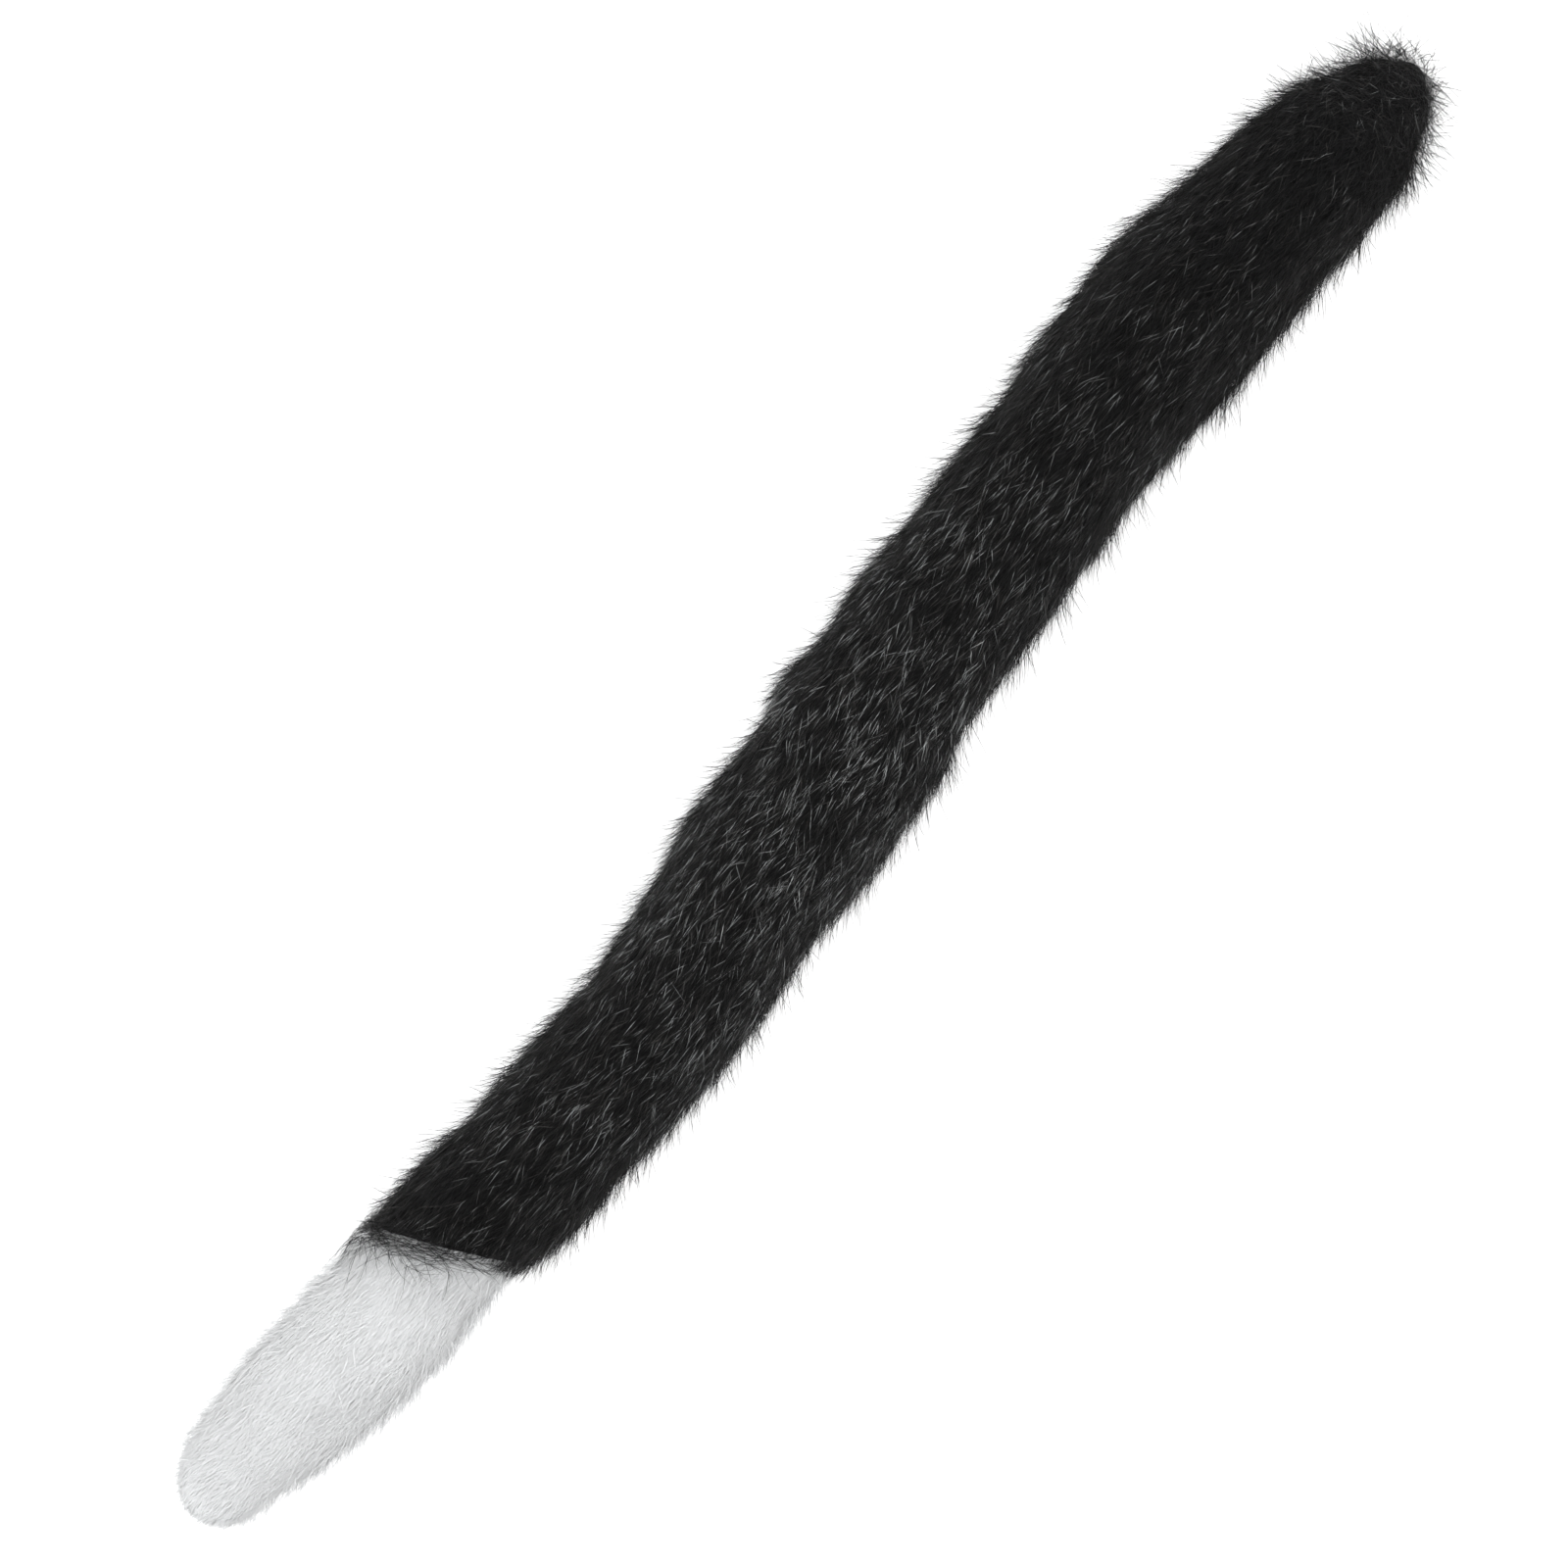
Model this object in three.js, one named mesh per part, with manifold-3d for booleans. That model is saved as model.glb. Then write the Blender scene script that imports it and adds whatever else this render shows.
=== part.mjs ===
// Costume animal tail: a black fur sleeve with a white fur tip, stuffed, lying on its flattened underside.
// Millimetres, +Z up, floor at z = 0. The root end points to +X and the white tip to -X.

import * as THREE from 'three';
import { mergeVertices } from 'three/addons/utils/BufferGeometryUtils.js';
import Module from 'manifold-3d';

const wasm = await Module();
wasm.setup();

// The whole tail, over its coat. The coat is combed away from the root end, so that end has no coat on it.
const TAIL_LENGTH = 600;
const TAIL_WIDTH = 60;
const TAIL_HEIGHT = 48;
const TAIL_SWAY = 14;

// The coat and the fur fabric that it grows from
const COAT_DEPTH = 5;
const PELT_THICKNESS = 3;
const UNDERSIDE_FLATTENING = 3;

// The seam between black and white fur, on the centre line
const SEAM_ALONG = 489;
const SEAM_SLANT_DEG = 28;
const SEAM_GAP = 0.3;
const SEAM_OVERHANG = 6;
const SEAM_BARE = 3;

// The locks of the coat, and how far one may differ from the next
const LOCK_LENGTH = 46;
const LOCK_SHORTEST = 22;
const LOCK_WIDTH = 19;
const LOCK_ROW_SPACING = 30;
const LOCK_ROOT_RISE = 1;
const LOCK_TIP_LIFT = 3;
const LOCK_SCATTER = 0.25;
const LOCK_DRIFT = 0.5;
const LOCK_SEED = 11;
const COAT_LOWEST_ANGLE_DEG = 32;

// The filling
const STUFFING_CLEARANCE = 0.3;

// The safety pin under the root end
const PIN_LENGTH = 38;
const PIN_WIDTH = 8;
const PIN_WIRE = 1.2;
const PIN_CAP_LENGTH = 8;
const PIN_CAP_THICKNESS = 2.2;
const PIN_FROM_ROOT = 54;
const PIN_CLEARANCE = 0.3;

// How finely the round forms are cut
const FACETS_AROUND = 16;
const RINGS_PER_ROW = 2;
const RINGS_CLOSEST = 1.5;
const WIRE_SIDES = 8;

// Sections from the root end to the tip. Along is a share of the length, sway of TAIL_SWAY towards +Y,
// width and height of the widest and highest section, and rise of the highest centre line.
const SECTIONS = [
  { along: 0.000, sway: 0.00, width: 0.12, height: 0.12, rise: 0.82 },
  { along: 0.012, sway: 0.02, width: 0.48, height: 0.50, rise: 0.85 },
  { along: 0.030, sway: 0.09, width: 0.71, height: 0.74, rise: 0.90 },
  { along: 0.070, sway: 0.20, width: 0.87, height: 0.91, rise: 0.95 },
  { along: 0.120, sway: 0.35, width: 0.91, height: 0.95, rise: 0.97 },
  { along: 0.200, sway: 0.50, width: 1.00, height: 1.00, rise: 1.00 },
  { along: 0.280, sway: 0.37, width: 0.93, height: 0.97, rise: 0.97 },
  { along: 0.360, sway: 0.16, width: 0.93, height: 0.95, rise: 0.95 },
  { along: 0.430, sway: -0.07, width: 0.93, height: 0.95, rise: 0.95 },
  { along: 0.500, sway: -0.44, width: 1.00, height: 0.97, rise: 0.97 },
  { along: 0.580, sway: -0.71, width: 0.93, height: 0.93, rise: 0.93 },
  { along: 0.650, sway: -1.00, width: 0.87, height: 0.88, rise: 0.88 },
  { along: 0.740, sway: -0.90, width: 0.85, height: 0.84, rise: 0.84 },
  { along: 0.800, sway: -0.70, width: 0.82, height: 0.80, rise: 0.80 },
  { along: 0.860, sway: -0.64, width: 0.82, height: 0.77, rise: 0.77 },
  { along: 0.910, sway: -0.45, width: 0.76, height: 0.70, rise: 0.70 },
  { along: 0.950, sway: -0.33, width: 0.66, height: 0.58, rise: 0.60 },
  { along: 0.980, sway: -0.20, width: 0.46, height: 0.40, rise: 0.50 },
  { along: 1.000, sway: -0.05, width: 0.08, height: 0.08, rise: 0.44 },
];

const LOCK_WIDEST_ANGLE = 0.6;
const LOCK_CROWDING = 1.1;
const LOCKS_FEWEST = 4;

// Where in its row the first lock stands, as a share of one lock
const ROW_START = 0.25;

// The rows lie square to the tail up to the first of these shares of the length, and along the seam's slant
// past the second
const ROWS_SQUARE_UNTIL = 0.3;
const ROWS_SLANTED_FROM = 0.7;

// How far apart the points lie that show which way the coat faces
const SLOPE_STEP = 0.004;

// How near to the middle of a cone a corner counts as on it
const MIDDLE_TOLERANCE = 0.001;

// Sizes that follow from those above
const PELT_HALF_WIDTH = TAIL_WIDTH / 2 - COAT_DEPTH;
const PELT_HALF_HEIGHT = (TAIL_HEIGHT - COAT_DEPTH + UNDERSIDE_FLATTENING) / 2;
const CENTRE_HEIGHT = PELT_HALF_HEIGHT - UNDERSIDE_FLATTENING;
const PELT_LENGTH = TAIL_LENGTH - COAT_DEPTH;
const LOCK_ROOT_DEPTH = PELT_THICKNESS / 2;
const PIN_THICKNESS = Math.max(PIN_CAP_THICKNESS, PIN_WIRE);
const PIN_SEAT_HEIGHT = PIN_THICKNESS + 2 * PIN_CLEARANCE;
const PIN_SEAT_END = PIN_FROM_ROOT + PIN_LENGTH / 2 + PIN_WIDTH / 2;
const PIN_SEAT_RAMP = 3 * PIN_WIDTH;

// A lock's cross sections from root to tip. Reach is a share of its length and breadth of its half width, and
// top, side and bottom are heights above the pelt, negative where the lock is sunk into it.
const LOCK_RINGS = [
  { reach: 0.0, breadth: 0.7, top: LOCK_ROOT_RISE, side: -LOCK_ROOT_DEPTH / 3, bottom: -LOCK_ROOT_DEPTH },
  { reach: 0.4, breadth: 1.0, top: COAT_DEPTH, side: -LOCK_ROOT_DEPTH / 5, bottom: -LOCK_ROOT_DEPTH * 0.7 },
  { reach: 1.0, breadth: 0.0, top: LOCK_TIP_LIFT, side: LOCK_TIP_LIFT, bottom: LOCK_TIP_LIFT },
];

// One column of the table at a place from 0 at the root end to 1 at the tip, on a smooth curve
function share(column, place) {
  const last = SECTIONS.length - 1;
  let row = 1;
  while (row < last && SECTIONS[row].along < place) row += 1;
  const [before, from, to, after] = [row - 2, row - 1, row, row + 1].map(
    (index) => SECTIONS[Math.min(Math.max(index, 0), last)],
  );
  const span = to.along - from.along;
  const t = Math.min(Math.max((place - from.along) / span, 0), 1);
  const slopeFrom = ((to[column] - before[column]) / (to.along - before.along)) * span;
  const slopeTo = ((after[column] - from[column]) / (after.along - from.along)) * span;
  return (
    (2 * t ** 3 - 3 * t ** 2 + 1) * from[column] +
    (t ** 3 - 2 * t ** 2 + t) * slopeFrom +
    (3 * t ** 2 - 2 * t ** 3) * to[column] +
    (t ** 3 - t ** 2) * slopeTo
  );
}

const SEAM_SLOPE = Math.tan(THREE.MathUtils.degToRad(SEAM_SLANT_DEG));
const SEAM_CENTRE_Y = TAIL_SWAY * share('sway', SEAM_ALONG / PELT_LENGTH);

THREE.MathUtils.seededRandom(LOCK_SEED);
const random = () => THREE.MathUtils.seededRandom();

// The underside is flat on the floor, and stands over the pin near the root end
function undersideHeight(along) {
  const onFloor = THREE.MathUtils.smoothstep(along, PIN_SEAT_END, PIN_SEAT_END + PIN_SEAT_RAMP);
  return PIN_SEAT_HEIGHT * (1 - onFloor);
}

// A point of the body, depth below the pelt's outer face. The place runs from 0 to 1 and the angle goes
// round from +Y over the top.
function bodyPoint(place, angle, depth) {
  const along = depth + place * (PELT_LENGTH - 2 * depth);
  const y = TAIL_SWAY * share('sway', place)
    + (PELT_HALF_WIDTH - depth) * share('width', place) * Math.cos(angle);
  const z = CENTRE_HEIGHT * share('rise', place)
    + (PELT_HALF_HEIGHT - depth) * share('height', place) * Math.sin(angle);
  return new THREE.Vector3(-along, y, Math.max(z, undersideHeight(along) + depth));
}

// A point of the coat, height above the pelt along its outward direction
function coatPoint(place, angle, height) {
  const onPelt = bodyPoint(place, angle, 0);
  const lengthwise = bodyPoint(place + SLOPE_STEP, angle, 0).sub(bodyPoint(place - SLOPE_STEP, angle, 0));
  const crosswise = bodyPoint(place, angle + SLOPE_STEP, 0).sub(bodyPoint(place, angle - SLOPE_STEP, 0));
  return onPelt.addScaledVector(lengthwise.cross(crosswise).normalize(), height);
}

// The places of the rings: each row and the points between rows, and the two ends of the pin seat's ramp
function ringPlaces() {
  const places = [];
  for (let row = 1; row < SECTIONS.length; row += 1) {
    const from = SECTIONS[row - 1].along;
    const to = SECTIONS[row].along;
    for (let part = 0; part < RINGS_PER_ROW; part += 1) {
      places.push(from + ((to - from) * part) / RINGS_PER_ROW);
    }
  }
  places.push(1, PIN_SEAT_END / PELT_LENGTH, (PIN_SEAT_END + PIN_SEAT_RAMP) / PELT_LENGTH);
  places.sort((a, b) => a - b);
  const closest = RINGS_CLOSEST / PELT_LENGTH;
  return places.filter((place, index) => index === 0 || place - places[index - 1] > closest);
}

// Moves each vertex of a geometry
function warp(geometry, move) {
  const position = geometry.getAttribute('position');
  for (let index = 0; index < position.count; index += 1) {
    const point = move(new THREE.Vector3().fromBufferAttribute(position, index));
    position.setXYZ(index, point.x, point.y, point.z);
  }
  return geometry;
}

// A closed geometry as a solid that can be joined and cut
function solid(geometry) {
  geometry.deleteAttribute('normal');
  geometry.deleteAttribute('uv');
  const merged = mergeVertices(geometry);
  return new wasm.Manifold(new wasm.Mesh({
    numProp: 3,
    vertProperties: new Float32Array(merged.getAttribute('position').array),
    triVerts: new Uint32Array(merged.index.array),
  }));
}

// A solid as a named mesh
function mesh(name, shape, colour, roughness, metalness) {
  const result = shape.getMesh();
  const geometry = new THREE.BufferGeometry();
  geometry.setAttribute('position', new THREE.BufferAttribute(result.vertProperties, result.numProp));
  geometry.setIndex(new THREE.BufferAttribute(result.triVerts, 1));
  geometry.computeVertexNormals();
  const material = new THREE.MeshStandardMaterial({ color: colour, roughness, metalness, flatShading: true });
  const node = new THREE.Mesh(geometry, material);
  node.name = name;
  return node;
}

// A closed body, depth below the pelt's outer face: a sphere with its rings moved to the sections
function bodySolid(depth) {
  const places = ringPlaces();
  const rings = places.length + 1;
  return solid(warp(new THREE.SphereGeometry(1, FACETS_AROUND, rings), (point) => {
    const ring = Math.round((Math.acos(THREE.MathUtils.clamp(point.y, -1, 1)) / Math.PI) * rings);
    if (ring === 0 || ring === rings) {
      const end = ring === 0 ? 0 : 1;
      return bodyPoint(end, 0, depth).lerp(bodyPoint(end, Math.PI, depth), 0.5);
    }
    return bodyPoint(places[ring - 1], Math.atan2(point.z, -point.x), depth);
  }));
}

// How far a point lies past the slanted seam, towards the tip
function pastSeam(point) {
  return -point.x - SEAM_ALONG - SEAM_SLOPE * (point.y - SEAM_CENTRE_Y);
}

// Everything on the root side of the seam (side 1) or on the tip side (side -1)
function sideOfSeam(side) {
  const size = 2 * TAIL_LENGTH;
  const box = new THREE.BoxGeometry(size, size, size);
  box.translate(side * (size + SEAM_GAP) / 2, 0, 0);
  box.rotateZ(THREE.MathUtils.degToRad(SEAM_SLANT_DEG));
  box.translate(-SEAM_ALONG, SEAM_CENTRE_Y, 0);
  return solid(box);
}

// -1, 0 or 1 for a corner on one side of a cone, on its middle or on the other side
function sideOf(value) {
  return Math.abs(value) < MIDDLE_TOLERANCE ? 0 : Math.sign(value);
}

// One lock: a four-sided cone bent along the coat. Its root sinks into the pelt, its belly has the coat's
// full depth, and its tip lifts off the rows below.
function lockSolid(place, angle, length, width, lift, drift) {
  const radius = PELT_HALF_WIDTH * share('width', place);
  const halfAngle = Math.min(width / 2 / radius, LOCK_WIDEST_ANGLE);
  const endPlace = Math.min(place + length / PELT_LENGTH, TAIL_LENGTH / PELT_LENGTH);
  const cone = new THREE.ConeGeometry(1, 1, 4, LOCK_RINGS.length - 1);
  return solid(warp(cone, (point) => {
    const ring = Math.round((point.y + 0.5) * (LOCK_RINGS.length - 1));
    const { reach, breadth, top, side, bottom } = LOCK_RINGS[ring];
    const height = [bottom, side, top][sideOf(point.z) + 1];
    return coatPoint(
      place + reach * (endPlace - place),
      angle - sideOf(point.x) * breadth * halfAngle + drift * reach,
      height > 0 ? height * lift : height,
    );
  }));
}

// The locks of one colour, in rows that follow the seam. Offsets are measured from the seam.
function locks(offsets, colourSide) {
  const solids = [];
  offsets.forEach((offset, row) => {
    const rowPlace = (SEAM_ALONG + offset) / PELT_LENGTH;
    const arc = Math.PI + 2 * THREE.MathUtils.degToRad(COAT_LOWEST_ANGLE_DEG);
    const radius = PELT_HALF_WIDTH * share('width', rowPlace);
    const count = Math.max(LOCKS_FEWEST, Math.round((arc * radius) / LOCK_WIDTH * LOCK_CROWDING));
    for (let index = 0; index < count; index += 1) {
      const stagger = (row % 2) / 2 + ROW_START + LOCK_SCATTER * random();
      const angle = Math.PI / 2 - arc / 2 + (arc * (index + stagger)) / count;
      const slant = SEAM_SLOPE * (bodyPoint(rowPlace, angle, 0).y - SEAM_CENTRE_Y)
        * THREE.MathUtils.smoothstep(rowPlace, ROWS_SQUARE_UNTIL, ROWS_SLANTED_FROM);
      const place = rowPlace + (slant + LOCK_SCATTER * random() * LOCK_ROW_SPACING) / PELT_LENGTH;
      const room = colourSide < 0 ? LOCK_LENGTH : SEAM_OVERHANG - pastSeam(bodyPoint(place, angle, 0));
      const length = Math.min(LOCK_LENGTH * (1 - LOCK_SCATTER * random()), room);
      const width = LOCK_WIDTH * (1 + LOCK_SCATTER * random());
      const lift = 1 - LOCK_SCATTER * random();
      const drift = LOCK_DRIFT * (random() - 0.5);
      if (place > 0 && place < 1 && length > LOCK_SHORTEST) {
        solids.push(lockSolid(place, angle, length, width, lift, drift));
      }
    }
  });
  return wasm.Manifold.union(solids);
}

// Distances from the seam at which a row of locks starts, evenly spread between the nearest and the farthest
function rowOffsets(nearest, farthest) {
  const count = Math.round(Math.abs(farthest - nearest) / LOCK_ROW_SPACING);
  return Array.from({ length: count + 1 }, (_, row) => nearest + ((farthest - nearest) * row) / count);
}

const blackOffsets = rowOffsets(-LOCK_SHORTEST, PELT_THICKNESS - SEAM_ALONG);
const whiteOffsets = rowOffsets(SEAM_OVERHANG + SEAM_BARE, TAIL_LENGTH - SEAM_ALONG - LOCK_SHORTEST);

// The fur on one side of the seam, hollow, with its locks fused on. Locks that cross can close small hollows
// between them, and those are filled by keeping the outer shell alone. The inside is cut last.
function furWall(seamSide, offsets) {
  const shells = bodySolid(0).intersect(sideOfSeam(seamSide)).add(locks(offsets, seamSide)).decompose();
  const outer = shells.reduce((largest, shell) => (shell.volume() > largest.volume() ? shell : largest));
  return outer.subtract(bodySolid(PELT_THICKNESS));
}

const blackFurSleeve = furWall(1, blackOffsets);
const whiteFurTip = furWall(-1, whiteOffsets);
const stuffing = bodySolid(PELT_THICKNESS + STUFFING_CLEARANCE);

// The pin: a cap, a coil loop and two arms, flat under the root end
function safetyPin() {
  const middle = PIN_CLEARANCE + PIN_THICKNESS / 2;
  const loopRadius = (PIN_WIDTH - PIN_WIRE) / 2 - PIN_WIRE / 2;
  const loopX = PIN_LENGTH / 2 - loopRadius - PIN_WIRE / 2;
  const armLength = PIN_LENGTH - PIN_CAP_LENGTH - loopRadius;
  const capEnd = -PIN_LENGTH / 2;
  const capShoulder = capEnd + Math.min(PIN_WIDTH, PIN_CAP_LENGTH) / 2;
  const cap = new THREE.Shape();
  cap.moveTo(capEnd + PIN_CAP_LENGTH, -PIN_WIDTH / 2);
  cap.lineTo(capEnd + PIN_CAP_LENGTH, PIN_WIDTH / 2);
  cap.lineTo(capShoulder, PIN_WIDTH / 2);
  cap.quadraticCurveTo(capEnd, PIN_WIDTH / 2, capEnd, 0);
  cap.quadraticCurveTo(capEnd, -PIN_WIDTH / 2, capShoulder, -PIN_WIDTH / 2);
  const capSolid = solid(
    new THREE.ExtrudeGeometry(cap, { depth: PIN_CAP_THICKNESS, bevelEnabled: false, curveSegments: 5 })
      .translate(0, 0, middle - PIN_CAP_THICKNESS / 2),
  );
  const loop = solid(new THREE.TorusGeometry(loopRadius, PIN_WIRE / 2, WIRE_SIDES, 2 * WIRE_SIDES)
    .translate(loopX, 0, middle));
  const arms = [-1, 1].map((side) => solid(
    new THREE.CylinderGeometry(PIN_WIRE / 2, PIN_WIRE / 2, armLength, WIRE_SIDES)
      .rotateZ(Math.PI / 2)
      .translate(loopX - armLength / 2, side * loopRadius, middle),
  ));
  return wasm.Manifold.union([capSolid, loop, ...arms])
    .translate([-PIN_FROM_ROOT, TAIL_SWAY * share('sway', PIN_FROM_ROOT / PELT_LENGTH), 0]);
}

const tail = new THREE.Group();
tail.add(mesh('black_fur_sleeve', blackFurSleeve, 0x1c1b1d, 0.9, 0));
tail.add(mesh('white_fur_tip', whiteFurTip, 0xe8e9ea, 0.9, 0));
tail.add(mesh('stuffing', stuffing, 0xf2f0ea, 1, 0));
tail.add(mesh('safety_pin', safetyPin(), 0xb9bcc0, 0.35, 1));

// The origin lies on the floor under the middle of the tail
const middle = new THREE.Box3().setFromObject(tail).getCenter(new THREE.Vector3());
tail.position.set(-middle.x, -middle.y, 0);

export default tail;
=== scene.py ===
"""Dresses a costume animal tail: long black fur with a white fur tip, lying on a pale floor.

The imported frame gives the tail's form. A closed undercoat is made from its solids, and the coat is grown on
that undercoat hair by hair, combed towards the tip. Lengths are metres.
"""

from __future__ import annotations

import logging
import math
from dataclasses import dataclass, field, fields
from enum import Enum
from typing import Any, Callable

import bmesh
import bpy
import numpy as np
from mathutils import Matrix, Vector
from mathutils.bvhtree import BVHTree


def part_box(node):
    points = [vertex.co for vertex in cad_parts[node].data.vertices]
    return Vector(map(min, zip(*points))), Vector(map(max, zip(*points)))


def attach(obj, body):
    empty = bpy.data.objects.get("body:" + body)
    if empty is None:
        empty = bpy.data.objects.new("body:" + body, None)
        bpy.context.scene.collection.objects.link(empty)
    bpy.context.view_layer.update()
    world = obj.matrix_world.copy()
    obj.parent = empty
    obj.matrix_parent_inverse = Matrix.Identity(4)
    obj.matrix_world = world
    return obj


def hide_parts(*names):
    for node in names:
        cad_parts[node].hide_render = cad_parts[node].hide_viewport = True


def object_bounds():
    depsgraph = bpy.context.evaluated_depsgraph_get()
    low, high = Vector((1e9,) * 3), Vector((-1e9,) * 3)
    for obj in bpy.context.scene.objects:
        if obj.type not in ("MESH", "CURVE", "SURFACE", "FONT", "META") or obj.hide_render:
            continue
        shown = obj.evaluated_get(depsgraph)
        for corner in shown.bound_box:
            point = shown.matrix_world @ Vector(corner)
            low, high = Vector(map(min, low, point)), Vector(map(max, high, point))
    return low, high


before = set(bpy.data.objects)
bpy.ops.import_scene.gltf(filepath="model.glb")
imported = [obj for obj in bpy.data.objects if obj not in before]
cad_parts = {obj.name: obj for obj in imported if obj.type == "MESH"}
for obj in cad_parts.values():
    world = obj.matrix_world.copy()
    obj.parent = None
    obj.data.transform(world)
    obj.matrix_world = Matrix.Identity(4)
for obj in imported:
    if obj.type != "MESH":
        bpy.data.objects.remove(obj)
CAD_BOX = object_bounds()

MM = 0.001
HAIR_MAP = "OFBake"
PALEST_TONE = 0.97
# The sockets of a Mix node that mixes colours: its two colours and its result
MIX_FIRST, MIX_SECOND, MIX_RESULT = 6, 7, 2
log = logging.getLogger("costume_tail")

Colour = tuple[float, float, float]
Density = Callable[[np.ndarray, np.ndarray], np.ndarray]


class Side(Enum):
    """Which side of the colour seam a piece lies on."""

    BLACK = 1
    WHITE = -1


class Value:
    """A shader socket whose operators add Math nodes, so that shader maths reads as plain expressions."""

    def __init__(self, shader: Shader, link: Any) -> None:
        """Keeps the shader that the socket belongs to, and the socket."""
        self.shader = shader
        self.link = link

    def _math(self, operation: str, first: Any, second: Any) -> Value:
        """Adds one Math node.

        Args:
            operation: The Math node's operation.
            first: Its first value, a number or a Value.
            second: Its second value, a number or a Value.

        Returns:
            The node's result.
        """
        return self.shader.node("ShaderNodeMath", {"operation": operation}, {0: first, 1: second})

    def __add__(self, other: Any) -> Value:
        """Self plus other."""
        return self._math("ADD", self, other)

    def __radd__(self, other: Any) -> Value:
        """Other plus self."""
        return self._math("ADD", other, self)

    def __mul__(self, other: Any) -> Value:
        """Self times other."""
        return self._math("MULTIPLY", self, other)

    def __rmul__(self, other: Any) -> Value:
        """Other times self."""
        return self._math("MULTIPLY", other, self)


class Shader:
    """A material under construction, with one Principled shader."""

    def __init__(self, name: str, roughness: float, specular: float, metallic: float = 0.0) -> None:
        """Starts a material.

        Args:
            name: The material's name.
            roughness: How matt it is.
            specular: The shader's own specular level.
            metallic: 1 for bare metal.
        """
        self.material = bpy.data.materials.new(name)
        self.material.use_nodes = True
        self.tree = self.material.node_tree
        self.tree.nodes.clear()
        self.surface = self.tree.nodes.new("ShaderNodeBsdfPrincipled")
        output = self.tree.nodes.new("ShaderNodeOutputMaterial")
        self.tree.links.new(self.surface.outputs["BSDF"], output.inputs["Surface"])
        self.surface.inputs["Roughness"].default_value = roughness
        self.surface.inputs["Specular IOR Level"].default_value = specular
        self.surface.inputs["Metallic"].default_value = metallic

    def node(self, kind: str, settings: dict[str, Any], inputs: dict[Any, Any], output: Any = 0) -> Value:
        """Adds any node.

        Args:
            kind: The node's type.
            settings: Its settings, which are set first. A ramp's stops are a list of (place, colour).
            inputs: The values or links of its sockets, by name or number.
            output: The name or number of the socket to return.

        Returns:
            The chosen output.
        """
        made = self.tree.nodes.new(kind)
        for key, setting in settings.items():
            if key == "stops":
                self._stops(made.color_ramp, setting)
            else:
                setattr(made, key, setting)
        for key, value in inputs.items():
            if isinstance(value, Value):
                self.tree.links.new(value.link, made.inputs[key])
            else:
                made.inputs[key].default_value = value
        return Value(self, made.outputs[output])

    @staticmethod
    def _stops(ramp: Any, stops: list[tuple[float, tuple[float, ...]]]) -> None:
        """Gives a colour ramp its stops.

        Args:
            ramp: The ramp.
            stops: Its stops, as places and colours.
        """
        while len(ramp.elements) < len(stops):
            ramp.elements.new(1.0)
        for element, (place, colour) in zip(ramp.elements, stops):
            element.position = place
            element.color = (*colour, 1.0)

    def ramp(self, factor: Value, stops: list[tuple[float, tuple[float, ...]]]) -> Value:
        """A colour that follows factor through the stops."""
        return self.node("ShaderNodeValToRGB", {"stops": stops}, {"Fac": factor}, "Color")

    def object_noise(self, scale: tuple[float, float, float], detail: float, name: str = "Fac") -> Value:
        """Noise on the object's own coordinates, stretched by scale along each axis.

        Args:
            scale: How fine it is along each axis.
            detail: How many finer layers it has.
            name: The output to return.

        Returns:
            The noise.
        """
        place = self.node("ShaderNodeTexCoord", {}, {}, "Object")
        mapped = self.node("ShaderNodeMapping", {}, {"Vector": place, "Scale": scale})
        return self.node("ShaderNodeTexNoise", {}, {"Vector": mapped, "Scale": 1.0, "Detail": detail}, name)

    def bump(self, height: Value, strength: float, distance: float) -> None:
        """Roughens the surface with a height.

        Args:
            height: The height.
            strength: How much of it shows.
            distance: How high it stands where it is 1.
        """
        normal = self.node(
            "ShaderNodeBump", {}, {"Height": height, "Strength": strength, "Distance": distance}, "Normal"
        )
        self.feed("Normal", normal)

    def feed(self, socket: str, value: Value) -> None:
        """Links a value to one of the shader's sockets."""
        self.tree.links.new(value.link, self.surface.inputs[socket])


@dataclass(frozen=True)
class HairFinish:
    """The finish of single hairs: a tone for each hair, shown on a band along its middle, and darker or paler
    end tones at the root and tip. On the black hair the band's pale tones are painted glints: painted
    highlight, as where a hair catches the light.

    The hairs' own map holds the tone across and the way from root to tip upwards.
    """

    name: str
    tones: tuple[tuple[float, Colour], ...]
    root_tones: tuple[tuple[float, Colour], ...]
    roughness: float
    specular: float
    sheen: float = 0.0
    # Where along each hair its tone shows rather than the end tones: a painted highlight band in the hair's
    # middle.
    painted_glint_along: tuple[tuple[float, float], ...] = (
        (0.0, 0.0),
        (0.33, 0.1),
        (0.44, 1.0),
        (0.72, 1.0),
        (0.85, 0.12),
    )

    def material(self) -> bpy.types.Material:
        """Builds the material.

        Returns:
            The material.
        """
        shader = Shader(self.name, self.roughness, self.specular)
        shader.surface.inputs["Sheen Weight"].default_value = self.sheen
        hair = shader.node("ShaderNodeUVMap", {"uv_map": HAIR_MAP}, {}, "UV")
        split = shader.node("ShaderNodeSeparateXYZ", {}, {"Vector": hair}, "X")
        along = Value(shader, split.link.node.outputs["Y"])
        # Painted glint: the tone shows only on the band along the hair's middle, and the end tones elsewhere.
        painted_glint = shader.ramp(along, [(place, (level, level, level)) for place, level in self.painted_glint_along])
        colour = shader.node(
            "ShaderNodeMix",
            {"data_type": "RGBA"},
            {
                "Factor": shader.node("ShaderNodeRGBToBW", {}, {"Color": painted_glint}),
                MIX_FIRST: shader.ramp(split, list(self.root_tones)),
                MIX_SECOND: shader.ramp(split, list(self.tones)),
            },
            MIX_RESULT,
        )
        shader.feed("Base Color", colour)
        return shader.material


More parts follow.
